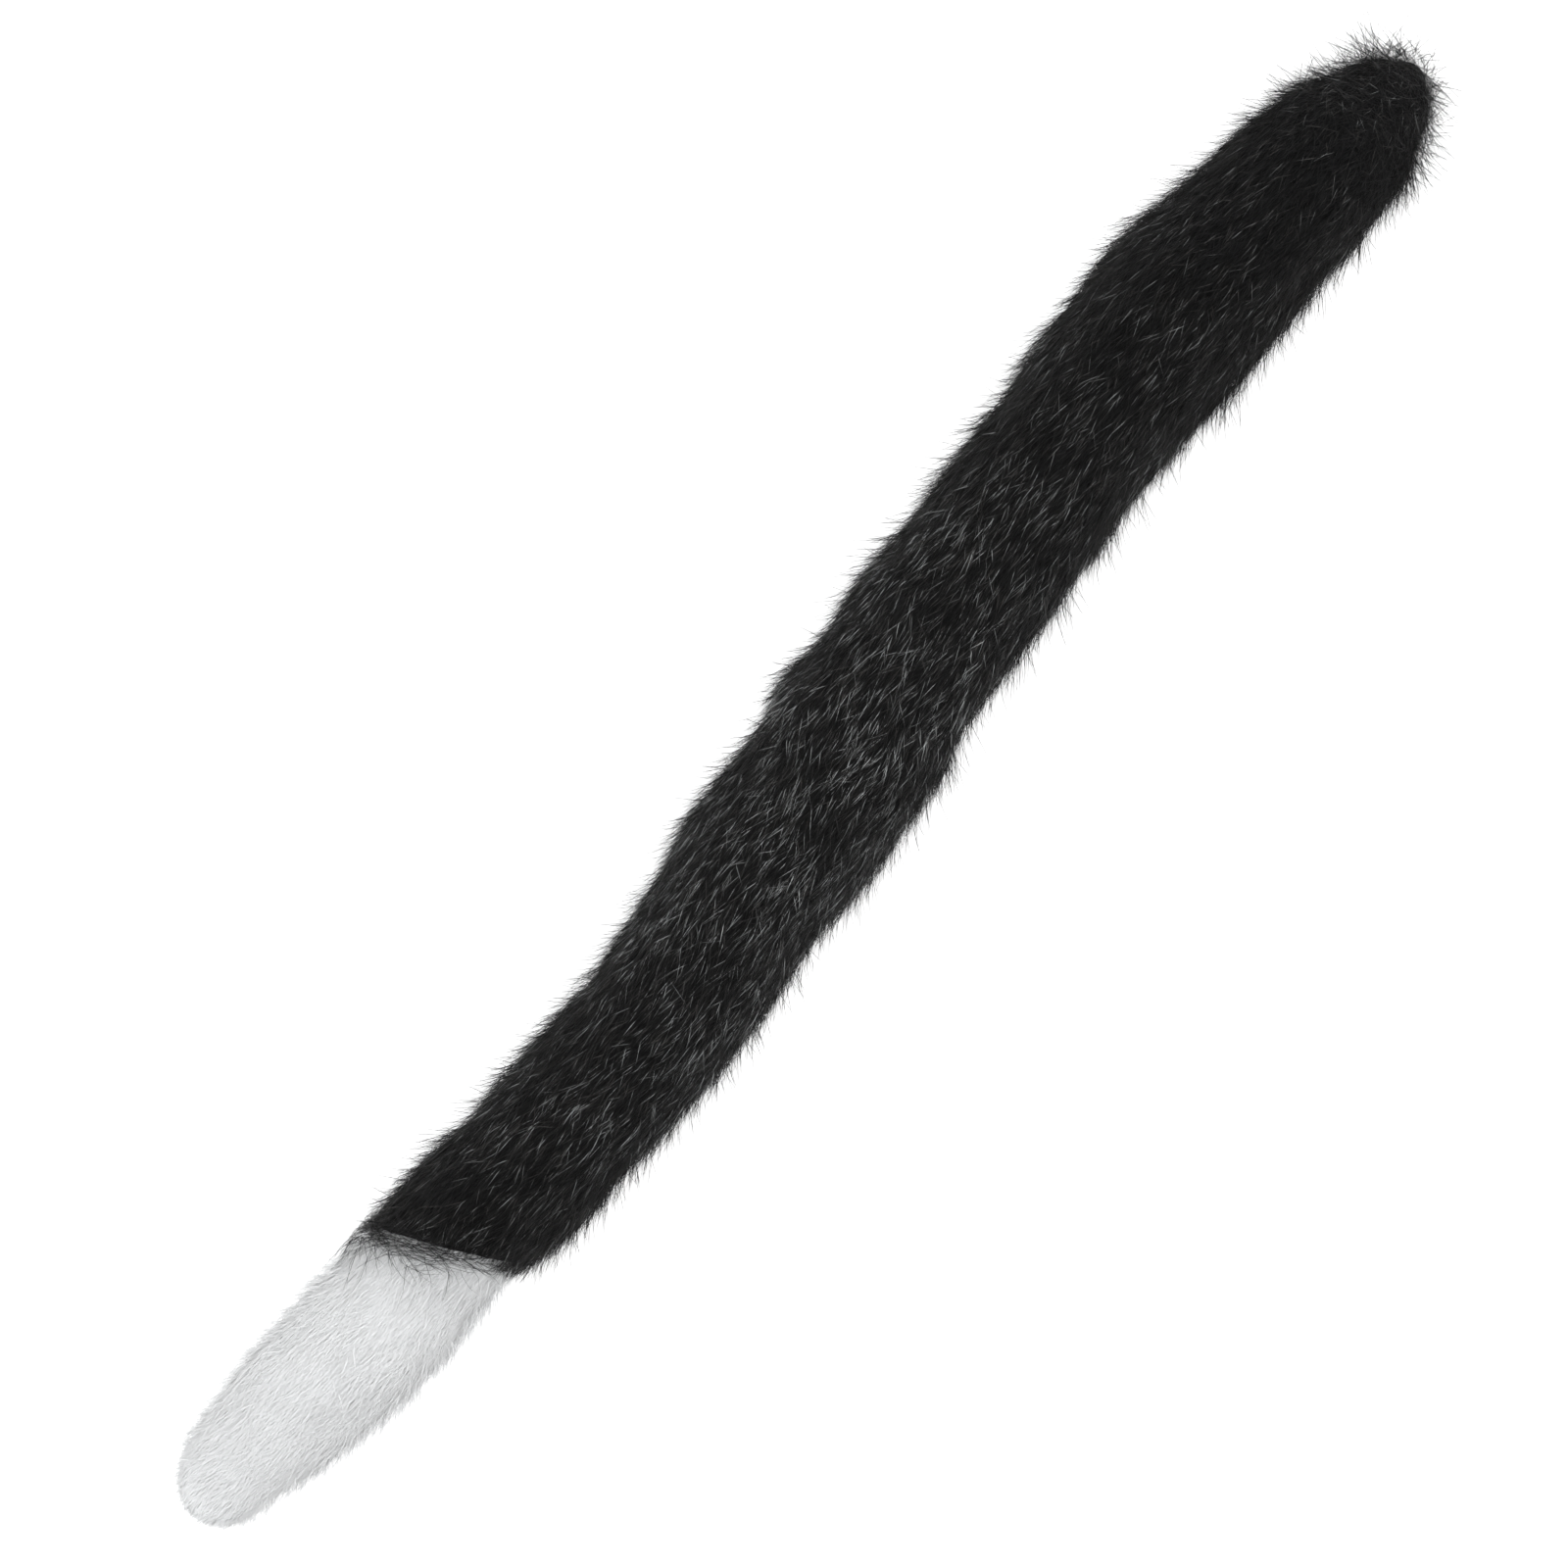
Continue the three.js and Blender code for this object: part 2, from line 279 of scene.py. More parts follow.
@dataclass(frozen=True)
class UndercoatFinish:
    """The matted underfur under the long hairs, streaked along the comb."""

    name: str
    deep: Colour
    pale: Colour
    roughness: float
    specular: float
    streak_scale: tuple[float, float, float] = (90.0, 1100.0, 1100.0)
    patch_scale: tuple[float, float, float] = (60.0, 90.0, 90.0)
    streak_share: float = 0.7
    relief: float = 0.6
    relief_depth: float = 0.6 * MM

    def material(self) -> bpy.types.Material:
        """Builds the material.

        Returns:
            The material.
        """
        shader = Shader(self.name, self.roughness, self.specular)
        streaks = shader.object_noise(self.streak_scale, detail=6.0)
        patches = shader.object_noise(self.patch_scale, detail=2.0)
        mixed = streaks * self.streak_share + patches * (1 - self.streak_share)
        shader.feed("Base Color", shader.ramp(mixed, [(0.35, self.deep), (0.68, self.pale)]))
        shader.bump(streaks, self.relief, self.relief_depth)
        return shader.material


@dataclass(frozen=True)
class FibreFinish:
    """Matt fibres, tangled or twisted, with one fine noise for their tone and their relief."""

    name: str
    deep: Colour
    pale: Colour
    roughness: float
    specular: float
    fineness: float
    detail: float
    relief: float
    relief_depth: float

    def material(self) -> bpy.types.Material:
        """Builds the material.

        Returns:
            The material.
        """
        shader = Shader(self.name, self.roughness, self.specular)
        fibres = shader.object_noise((self.fineness, self.fineness, self.fineness), self.detail)
        shader.feed("Base Color", shader.ramp(fibres, [(0.3, self.deep), (0.7, self.pale)]))
        shader.bump(fibres, self.relief, self.relief_depth)
        return shader.material


@dataclass(frozen=True)
class SteelFinish:
    """Plated steel wire, slightly dulled by handling."""

    name: str = "plated_pin_steel"
    dull: Colour = (0.42, 0.42, 0.43)
    bright: Colour = (0.66, 0.66, 0.68)
    wear_scale: tuple[float, float, float] = (900.0, 2600.0, 2600.0)
    wear_roughness: float = 0.25
    least_roughness: float = 0.18

    def material(self) -> bpy.types.Material:
        """Builds the material.

        Returns:
            The material.
        """
        shader = Shader(self.name, roughness=0.28, specular=0.5, metallic=1.0)
        wear = shader.object_noise(self.wear_scale, detail=4.0)
        shader.feed("Base Color", shader.ramp(wear, [(0.35, self.dull), (0.65, self.bright)]))
        shader.feed("Roughness", wear * self.wear_roughness + self.least_roughness)
        shader.bump(wear, strength=0.15, distance=0.05 * MM)
        return shader.material


BLACK_HAIR = HairFinish(
    name="black_fur_hair",
    # Up to 0.655 the hairs' own near-black tones; the paler stops are painted glints, painted highlight on
    # the few hairs that would catch the light.
    tones=(
        (0.0, (0.0028, 0.0028, 0.0030)),
        (0.42, (0.0062, 0.0062, 0.0065)),
        (0.655, (0.0200, 0.0205, 0.0200)),
        (0.775, (0.1000, 0.0940, 0.0890)),
        (0.895, (0.3900, 0.4100, 0.4100)),
        (1.0, (0.8400, 0.8600, 0.8600)),
    ),
    root_tones=((0.0, (0.0025, 0.0025, 0.0027)), (1.0, (0.0110, 0.0105, 0.0102))),
    roughness=0.42,
    specular=0.2,
)
WHITE_HAIR = HairFinish(
    name="white_fur_hair",
    tones=(
        (0.0, (0.56, 0.57, 0.575)),
        (0.2, (0.77, 0.78, 0.785)),
        (0.7, (0.845, 0.855, 0.86)),
        # The palest stop is reached mostly by hairs on the flanks, painted paler there as painted light
        # against their shade.
        (1.0, (0.955, 0.965, 0.97)),
    ),
    root_tones=(
        (0.0, (0.56, 0.57, 0.575)),
        (0.2, (0.77, 0.78, 0.785)),
        (0.7, (0.84, 0.85, 0.855)),
        (1.0, (0.95, 0.96, 0.965)),
    ),
    roughness=0.6,
    specular=0.2,
    sheen=0.35,
)
BLACK_UNDERCOAT = UndercoatFinish(
    name="black_underfur",
    deep=(0.003, 0.003, 0.0032),
    pale=(0.011, 0.011, 0.0115),
    roughness=0.85,
    specular=0.1,
)
WHITE_UNDERCOAT = UndercoatFinish(
    name="white_underfur",
    deep=(0.79, 0.80, 0.81),
    pale=(0.86, 0.87, 0.875),
    roughness=0.9,
    specular=0.1,
)
LOOSE_FILL = FibreFinish(
    name="loose_fibre_fill",
    deep=(0.72, 0.71, 0.67),
    pale=(0.86, 0.85, 0.82),
    roughness=0.95,
    specular=0.2,
    fineness=500.0,
    detail=8.0,
    relief=0.8,
    relief_depth=1.2 * MM,
)
BLACK_THREAD = FibreFinish(
    name="black_thread",
    deep=(0.006, 0.006, 0.007),
    pale=(0.03, 0.03, 0.032),
    roughness=0.7,
    specular=0.3,
    fineness=3800.0,
    detail=3.0,
    relief=0.5,
    relief_depth=0.1 * MM,
)


def finished(piece: bpy.types.Object, slot: str, material: bpy.types.Material) -> bpy.types.Object:
    """Gives a piece its material and body, and shades it smooth.

    Args:
        piece: The piece, in place.
        slot: The record's material slot; not used.
        material: The piece's only material.

    Returns:
        The piece.
    """
    piece.data.materials.clear()
    piece.data.materials.append(material)
    piece.data.polygons.foreach_set("use_smooth", np.ones(len(piece.data.polygons), bool))
    piece.data.update()
    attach(piece, "root")
    log.info("%s: %d triangles", piece.name, count_triangles(piece.data))
    return piece


def count_triangles(mesh: bpy.types.Mesh) -> int:
    """How many triangles a mesh has."""
    return len(mesh.loops) - 2 * len(mesh.polygons)


def new_object(name: str, mesh: bpy.types.Mesh) -> bpy.types.Object:
    """Links a mesh to the scene as a named object at the origin.

    Args:
        name: The object's name.
        mesh: Its mesh.

    Returns:
        The object.
    """
    made = bpy.data.objects.new(name, mesh)
    bpy.context.scene.collection.objects.link(made)
    return made


def unit(vectors: np.ndarray) -> np.ndarray:
    """Vectors of length 1 along the last axis."""
    return vectors / np.maximum(np.linalg.norm(vectors, axis=-1, keepdims=True), 1e-12)


def read(items: Any, name: str, width: int, kind: type = np.float32) -> np.ndarray:
    """One attribute of all items, a row of width numbers for each.

    Args:
        items: A mesh's vertices or triangles.
        name: The attribute's name.
        width: How many numbers each item has.
        kind: The type of the numbers.

    Returns:
        The numbers, one row for each item.
    """
    flat = np.zeros(len(items) * width, kind)
    items.foreach_get(name, flat)
    return flat.reshape(-1, width)


@dataclass
class TailForm:
    """The tail's centre line and seam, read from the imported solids."""

    stations: np.ndarray = field(init=False)
    centres: np.ndarray = field(init=False)
    seam_slant_deg: float = 26.0
    seam_back: float = 5.5 * MM
    comb_step: float = 12 * MM
    seam_normal: np.ndarray = field(init=False)
    seam_place: float = field(init=False)

    def __post_init__(self) -> None:
        """Reads the filling's rings and the face of the white tip at the seam."""
        core = self.corners("stuffing")
        ring = np.round(core[:, 0], 5)
        self.stations = np.unique(ring)
        self.centres = np.array([self._ring_centre(core[ring == place]) for place in self.stations])
        slant = math.radians(self.seam_slant_deg)
        self.seam_normal = np.array([math.cos(slant), math.sin(slant), 0.0])
        self.seam_place = float((self.corners("white_fur_tip") @ self.seam_normal).max()) + self.seam_back

    @staticmethod
    def corners(node: str) -> np.ndarray:
        """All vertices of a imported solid."""
        return read(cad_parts[node].data.vertices, "co", 3).astype(float)

    @staticmethod
    def _ring_centre(points: np.ndarray) -> np.ndarray:
        """The middle of one ring: halfway across, and as high as its widest points."""
        low, high = points[points[:, 1].argmin()], points[points[:, 1].argmax()]
        return (low + high) / 2

    def centre(self, x: np.ndarray) -> np.ndarray:
        """Points of the centre line at places x.

        Args:
            x: Places along the tail.

        Returns:
            A point for each.
        """
        y = np.interp(x, self.stations, self.centres[:, 1])
        z = np.interp(x, self.stations, self.centres[:, 2])
        return np.stack([x, y, z], axis=-1)

    def comb(self, x: np.ndarray) -> np.ndarray:
        """The direction along the centre line towards the tip, at places x."""
        return unit(self.centre(x - self.comb_step) - self.centre(x + self.comb_step))

    def to_right(self, points: np.ndarray, start: float, end: float) -> np.ndarray:
        """0 to 1 across the tail, from start to end, measured from the centre line towards -Y."""
        aside = self.centre(points[:, 0])[:, 1] - points[:, 1]
        return np.clip((aside - start) / (end - start), 0, 1)

    def past_seam(self, points: np.ndarray) -> np.ndarray:
        """How far points lie past the seam, towards the tip."""
        return self.seam_place - points @ self.seam_normal


@dataclass
class Undercoat:
    """The matted underfur: one closed body made from the solids, softened and cut at the seam."""

    form: TailForm
    voxel: float = 2.2 * MM
    evening: int = 75
    lock_share: float = 0.15
    inset: float = 0.3 * MM
    root_end_inset: float = 8.9 * MM
    tip_inset: float = -0.6 * MM
    white_inset: float = 0.6 * MM
    least_depth: float = 0.9 * MM
    softening: int = 5
    lowest: float = 1.2 * MM
    waist: float = 0.8 * MM
    waist_start: float = 2 * MM
    waist_fade: float = 5 * MM
    waist_reach: float = 45 * MM
    tip_reach: float = 30 * MM
    white_reach: float = 85 * MM
    black_from: float = 110 * MM
    root_end_reach: float = 28 * MM
    side_fade: float = 12 * MM
    tip_ball: float = 24 * MM
    ball_blend: float = 1.4
    tip_fullness: float = 1.2 * MM
    fullness_reach: float = 92 * MM
    fullness_fade: float = 22 * MM
    tip_gap: float = 2.0 * MM
    swell_reach: float = 13 * MM
    swells: tuple[tuple[float, float, float], ...] = (
        (195 * MM, 1.7 * MM, 0.6 * MM),
        (66 * MM, 1.2 * MM, 0.0),
        (26 * MM, 2.5 * MM, 1.6 * MM),
        (-27 * MM, 2.0 * MM, -1.6 * MM),
        (-156 * MM, 0.0, 1.4 * MM),
    )

    def whole(self) -> bpy.types.Mesh:
        """Joins the solids into one closed, softened body.

        Returns:
            The mesh of the whole tail's undercoat.
        """
        shape = bmesh.new()
        for node in ("black_fur_sleeve", "white_fur_tip", "stuffing"):
            shape.from_mesh(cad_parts[node].data)
        bmesh.ops.remove_doubles(shape, verts=shape.verts, dist=0.001 * MM)
        joined = bpy.data.meshes.new("joined_solids")
        shape.to_mesh(joined)
        shape.free()
        carrier = new_object("undercoat_carrier", joined)
        remesh = carrier.modifiers.new("even", "REMESH")
        remesh.mode = "VOXEL"
        remesh.voxel_size = self.voxel
        evaluated = carrier.evaluated_get(bpy.context.evaluated_depsgraph_get())
        even = bpy.data.meshes.new_from_object(evaluated)
        bpy.data.objects.remove(carrier)
        bpy.data.meshes.remove(joined)
        self._soften(even)
        return even

    def _soften(self, mesh: bpy.types.Mesh) -> None:
        """Keeps the outer shell, lays the locks down, smooths it and lifts its underside off the floor.

        Args:
            mesh: The remeshed body, which is changed.
        """
        shape = bmesh.new()
        shape.from_mesh(mesh)
        keep = self._outer_shell(shape)
        bmesh.ops.delete(shape, geom=[v for v in shape.verts if v not in keep], context="VERTS")
        for places in (self._evened, self._rounded_tip):
            for vertex, place in zip(shape.verts, places(shape)):
                vertex.co = place
        for _ in range(self.softening):
            bmesh.ops.smooth_vert(
                shape, verts=shape.verts, factor=0.5, use_axis_x=True, use_axis_y=True, use_axis_z=True
            )
        for vertex in shape.verts:
            vertex.co.z = max(vertex.co.z, self.lowest)
        bmesh.ops.recalc_face_normals(shape, faces=shape.faces)
        shape.to_mesh(mesh)
        shape.free()

    def _evened(self, shape: bmesh.types.BMesh) -> np.ndarray:
        """Spreads the locks' height over the body, so that the coat is as deep as they are but lies evenly.

        Args:
            shape: The outer shell.

        Returns:
            A new place for each of its vertices.
        """
        core = BVHTree.FromPolygons(*self._triangles("stuffing"))
        points = np.array([vertex.co for vertex in shape.verts])
        base = np.array([core.find_nearest(point)[0] for point in points])
        height = np.linalg.norm(points - base, axis=1)
        even = self._spread(shape, height)
        depth = self._swollen(even + (height - even) * self.lock_share, points, base)
        depth = np.maximum(depth - self._inset_at(base[:, 0]), self.least_depth)
        return base + unit(points - base) * depth[:, None]

    def _spread(self, shape: bmesh.types.BMesh, height: np.ndarray) -> np.ndarray:
        """Evens a height among neighbouring vertices, many times over.

        Args:
            shape: The outer shell.
            height: The height of each of its vertices.

        Returns:
            The evened height of each.
        """
        shape.verts.index_update()
        pairs = np.array([[vertex.index for vertex in edge.verts] for edge in shape.edges])
        ends, others = np.concatenate([pairs[:, 0], pairs[:, 1]]), np.concatenate([pairs[:, 1], pairs[:, 0]])
        neighbours = np.bincount(ends, minlength=len(height))
        even = height.copy()
        for _ in range(self.evening):
            even = (even + np.bincount(ends, weights=even[others], minlength=len(height)) / neighbours) / 2
        return even

    def _swollen(self, depth: np.ndarray, points: np.ndarray, base: np.ndarray) -> np.ndarray:
        """Makes the coat fuller towards the tip, slimmer past the seam, and adds the outline's slight swells.

        Args:
            depth: The coat's depth at each vertex.
            points: The vertices' places.
            base: The filling's nearest place to each.

        Returns:
            The new depth at each vertex.
        """
        past = self.form.past_seam(points)
        waist = np.clip((past + self.waist_start) / self.waist_fade, 0, 1)
        waist = waist * np.clip(1 - past / self.waist_reach, 0, 1)
        full_to = self.form.stations[0] + self.fullness_reach
        near_tip = np.clip((full_to - base[:, 0]) / self.fullness_fade, 0, 1)
        fuller = self.tip_fullness * near_tip - self.waist * waist
        to_right = self.form.to_right(points, 0.0, self.side_fade)
        to_left = 1 - self.form.to_right(points, -self.side_fade, 0.0)
        depth = depth + fuller * to_right
        for place, left, right in self.swells:
            near = np.exp(-(((points[:, 0] - place) / self.swell_reach) ** 2))
            depth = depth + near * (left * to_left + right * to_right)
        return depth

    def _inset_at(self, x: np.ndarray) -> np.ndarray:
        """How far the surface is drawn in at places x, so that the hairs have room to lie on it.

        Args:
            x: Places along the tail.

        Returns:
            The inset at each.
        """
        tip, root = self.form.stations[0], self.form.stations[-1]
        insets = (
            (tip, self.tip_inset),
            (tip + self.tip_reach, self.white_inset),
            (tip + self.white_reach, self.white_inset),
            (tip + self.black_from, self.inset),
            (root - self.root_end_reach, self.inset),
            (root, self.root_end_inset),
        )
        return np.interp(x, *zip(*insets))

    def _rounded_tip(self, shape: bmesh.types.BMesh) -> np.ndarray:
        """Rounds the blunt end of the tip to half a ball, as wide and high as the tail is there.

        Args:
            shape: The outer shell.

        Returns:
            A new place for each of its vertices.
        """
        places = np.array([vertex.co for vertex in shape.verts])
        middle_x = CAD_BOX[0].x + self.tip_gap + self.tip_ball
        ring = places[np.abs(places[:, 0] - middle_x) < self.voxel]
        low, high = ring.min(axis=0), ring.max(axis=0)
        middle = np.array([middle_x, *((low + high) / 2)[1:]])
        size = np.array([self.tip_ball, *((high - low) / 2)[1:]])
        spot = (places - middle) / size
        share = np.clip(-self.ball_blend * spot[:, :1], 0, 1)
        return places + (middle + unit(spot) * size - places) * share**2 * (3 - 2 * share)

    @staticmethod
    def _triangles(node: str) -> tuple[list[Vector], list[tuple[int, ...]]]:
        """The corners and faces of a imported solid."""
        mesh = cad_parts[node].data
        return [v.co.copy() for v in mesh.vertices], [tuple(face.vertices) for face in mesh.polygons]

    @staticmethod
    def _outer_shell(shape: bmesh.types.BMesh) -> set[bmesh.types.BMVert]:
        """The vertices joined to the one that lies farthest towards +X.

        Args:
            shape: The remeshed body.

        Returns:
            The outer shell's vertices.
        """
        start = max(shape.verts, key=lambda vertex: vertex.co.x)
        found = {start}
        edge = [start]
        while edge:
            vertex = edge.pop()
            for link in vertex.link_edges:
                other = link.other_vert(vertex)
                if other not in found:
                    found.add(other)
                    edge.append(other)
        return found

    def half(self, whole: bpy.types.Mesh, side: Side, name: str) -> bpy.types.Object:
        """Cuts the undercoat at the seam and closes the cut.

        Args:
            whole: The whole undercoat.
            side: Which colour to keep.
            name: The piece's name.

        Returns:
            The closed piece.
        """
        shape = bmesh.new()
        shape.from_mesh(whole)
        normal = Vector(self.form.seam_normal)
        cut = bmesh.ops.bisect_plane(
            shape,
            geom=[*shape.verts, *shape.edges, *shape.faces],
            plane_co=normal * self.form.seam_place,
            plane_no=normal * side.value,
            clear_inner=True,
        )
        rim = [item for item in cut["geom_cut"] if isinstance(item, bmesh.types.BMEdge)]
        bmesh.ops.holes_fill(shape, edges=rim, sides=0)
        bmesh.ops.triangulate(shape, faces=[face for face in shape.faces if len(face.verts) > 4])
        mesh = bpy.data.meshes.new(name)
        shape.to_mesh(mesh)
        shape.free()
        return new_object(name, mesh)


@dataclass
class Skin:
    """The undercoat's surface as arrays, for growing hairs on it."""

    mesh: bpy.types.Mesh
    points: np.ndarray = field(init=False)
    normals: np.ndarray = field(init=False)
    triangles: np.ndarray = field(init=False)
    tree: BVHTree = field(init=False)

    def __post_init__(self) -> None:
        """Reads the points, normals and triangles."""
        mesh = self.mesh
        mesh.calc_loop_triangles()
        self.points = read(mesh.vertices, "co", 3).astype(float)
        self.normals = read(mesh.vertices, "normal", 3).astype(float)
        self.triangles = read(mesh.loop_triangles, "vertices", 3, np.int32)
        self.tree = BVHTree.FromPolygons(self.points.tolist(), self.triangles.tolist())

    def scatter(
        self, count: int, density: Density, rng: np.random.Generator
    ) -> tuple[np.ndarray, np.ndarray]:
        """Picks random points of the surface.

        Args:
            count: How many.
            density: How likely a point is, from its place and normal.
            rng: The seeded generator.

        Returns:
            The points and their normals.
        """
        corners = self.points[self.triangles]
        middle = corners.mean(axis=1)
        facing = unit(self.normals[self.triangles].mean(axis=1))
        cross = np.cross(corners[:, 1] - corners[:, 0], corners[:, 2] - corners[:, 0])
        weight = np.linalg.norm(cross, axis=1) * density(middle, facing)
        chosen = rng.choice(len(weight), size=count, p=weight / weight.sum())
        a, b = rng.random(count), rng.random(count)
        over = a + b > 1
        a[over], b[over] = 1 - a[over], 1 - b[over]
        share = np.stack([1 - a - b, a, b], axis=1)[:, :, None]
        roots = (corners[chosen] * share).sum(axis=1)
        normals = unit((self.normals[self.triangles[chosen]] * share).sum(axis=1))
        return roots, normals

    def hug(self, points: np.ndarray, heights: np.ndarray) -> np.ndarray:
        """Moves points to the given heights above the nearest place of the surface.

        Args:
            points: The points.
            heights: The height of each.

        Returns:
            The moved points.
        """
        hugged = np.empty_like(points)
        for index, point in enumerate(points):
            place, normal, _, _ = self.tree.find_nearest(point)
            hugged[index] = place + normal * heights[index]
        return hugged


@dataclass(frozen=True)
class Wave:
    """Soft seeded noise over space: about as high as height, either way, in patches of one size."""

    height: float
    size: float
    seed: int
    parts: int = 7
    evener: float = 3.2

    def at(self, points: np.ndarray) -> np.ndarray:
        """The noise at each point.

        Args:
            points: The points.

        Returns:
            The noise, a number for each.
        """
        rng = np.random.default_rng(self.seed)
        directions = unit(rng.normal(size=(self.parts, 3)))
        speeds = rng.uniform(0.6, 1.5, self.parts) * 2 * math.pi / self.size
        phases = rng.uniform(0, 2 * math.pi, self.parts)
        swings = np.sin(points @ (directions * speeds[:, None]).T + phases)
        return self.height * (swings.sum(axis=1) / self.evener)


@dataclass(frozen=True)
class HairShape:
    """One hair as a closed three-sided spindle, pointed at its root and tip, that can bend at its cuts."""

    along: np.ndarray
    around: np.ndarray
    corners: np.ndarray
    corner_map: np.ndarray

    @classmethod
    def with_cuts(cls, *cuts: float) -> HairShape:
        """Builds a spindle.

        Args:
            cuts: The shares of the length where it can bend, from root to tip.

        Returns:
            The spindle, with its vertices, triangles and map.
        """
        spindle = bmesh.new()
        length = 1 - cuts[0]
        bmesh.ops.create_cone(spindle, cap_ends=True, segments=3, radius1=1.0, radius2=0.0, depth=length)
        bmesh.ops.remove_doubles(spindle, verts=spindle.verts, dist=1e-5)
        bmesh.ops.translate(spindle, verts=spindle.verts, vec=(0, 0, cuts[0] + length / 2))
        base = [face for face in spindle.faces if face.normal.z < -0.9]
        root = bmesh.ops.poke(spindle, faces=base)["verts"][0]
        root.co.z = 0.0
        for cut in cuts[1:]:
            bmesh.ops.bisect_plane(
                spindle,
                geom=[*spindle.verts, *spindle.edges, *spindle.faces],
                plane_co=(0, 0, cut),
                plane_no=(0, 0, 1),
            )
        bmesh.ops.triangulate(spindle, faces=spindle.faces)
        bmesh.ops.recalc_face_normals(spindle, faces=spindle.faces)
        spindle.verts.index_update()
        along = np.array([round(vertex.co.z, 5) for vertex in spindle.verts])
        around = np.array([math.atan2(vertex.co.y, vertex.co.x) for vertex in spindle.verts])
        corners = np.array([[loop.vert.index for loop in face.loops] for face in spindle.faces])
        corner_map = np.array([cls._face_map(face) for face in spindle.faces])
        spindle.free()
        return cls(along, around, corners, corner_map)

    @staticmethod
    def _face_map(face: bmesh.types.BMFace) -> list[tuple[float, float]]:
        """The map of one face: across the hair, and along it.

        Args:
            face: A face of the spindle.

        Returns:
            The map's spot for each of its corners.
        """
        middle = face.calc_center_median()
        turn = math.atan2(middle.y, middle.x)
        spots = []
        for loop in face.loops:
            place = loop.vert.co
            side = math.remainder(math.atan2(place.y, place.x) - turn, 2 * math.pi)
            pointed = place.z < 1e-4 or place.z > 1 - 1e-4
            across = 0.5 if pointed else (0.0 if side < 0 else 1.0)
            spots.append((across, place.z))
        return spots


@dataclass
class Hairs:
    """Many hairs as arrays: where each one starts and how it runs."""

    roots: np.ndarray
    normals: np.ndarray
    lengths: np.ndarray
    starts: np.ndarray
    bends: np.ndarray
    radii: np.ndarray
    tones: np.ndarray

    def at(self, share: float) -> np.ndarray:
        """The hairs' points at a share of their lengths."""
        run = self.starts * share + self.bends * share**2
        return self.roots + run * self.lengths[:, None]

    def slopes(self, share: float) -> np.ndarray:
        """The hairs' directions at a share of their lengths."""
        step = 0.04
        return unit(self.at(min(share + step, 1.0)) - self.at(max(share - step, 0.0)))

    def only(self, chosen: np.ndarray) -> Hairs:
        """The chosen ones of the hairs."""
        return Hairs(*(getattr(self, item.name)[chosen] for item in fields(Hairs)))


@dataclass
class HuggingHairs(Hairs):
    """Hairs that lie close on the surface all along, in a low arch, the palest highest."""

    skin: Skin
    lowest: float = 0.8 * MM
    arch: float = 3.4 * MM
    arch_held_from: float = 0.75
    darkest_share: float = 0.7

    def at(self, share: float) -> np.ndarray:
        """The hairs' points at a share of their lengths, a little above the surface.

        Args:
            share: 0 at the root, 1 at the tip.

        Returns:
            A point for each hair.
        """
        free = super().at(share)
        rise = self.arch * math.sin(math.pi * min(share, self.arch_held_from))
        return self.skin.hug(free, (self.lowest + rise) * (self.darkest_share + self.tones))


@dataclass(frozen=True)
class CoatStyle:
    """How one kind of hair grows."""

    shortest: float
    longest: float
    radius: float
    lift_deg: float
    lift_spread_deg: float
    sway: float
    lay_back: float
    disorder: float
    tone_scale: float = 1.0
    tone_shift: float = 0.0
    root_end_trim: float = 0.45
    root_end_thinning: float = 0.3
    stray_share: float = 0.0
    stray_lift_deg: float = 40.0
    curl: float = 0.05
    frizz: float = 0.05
    ruffle: float = 3.0
    root_end_lay: float = 0.6


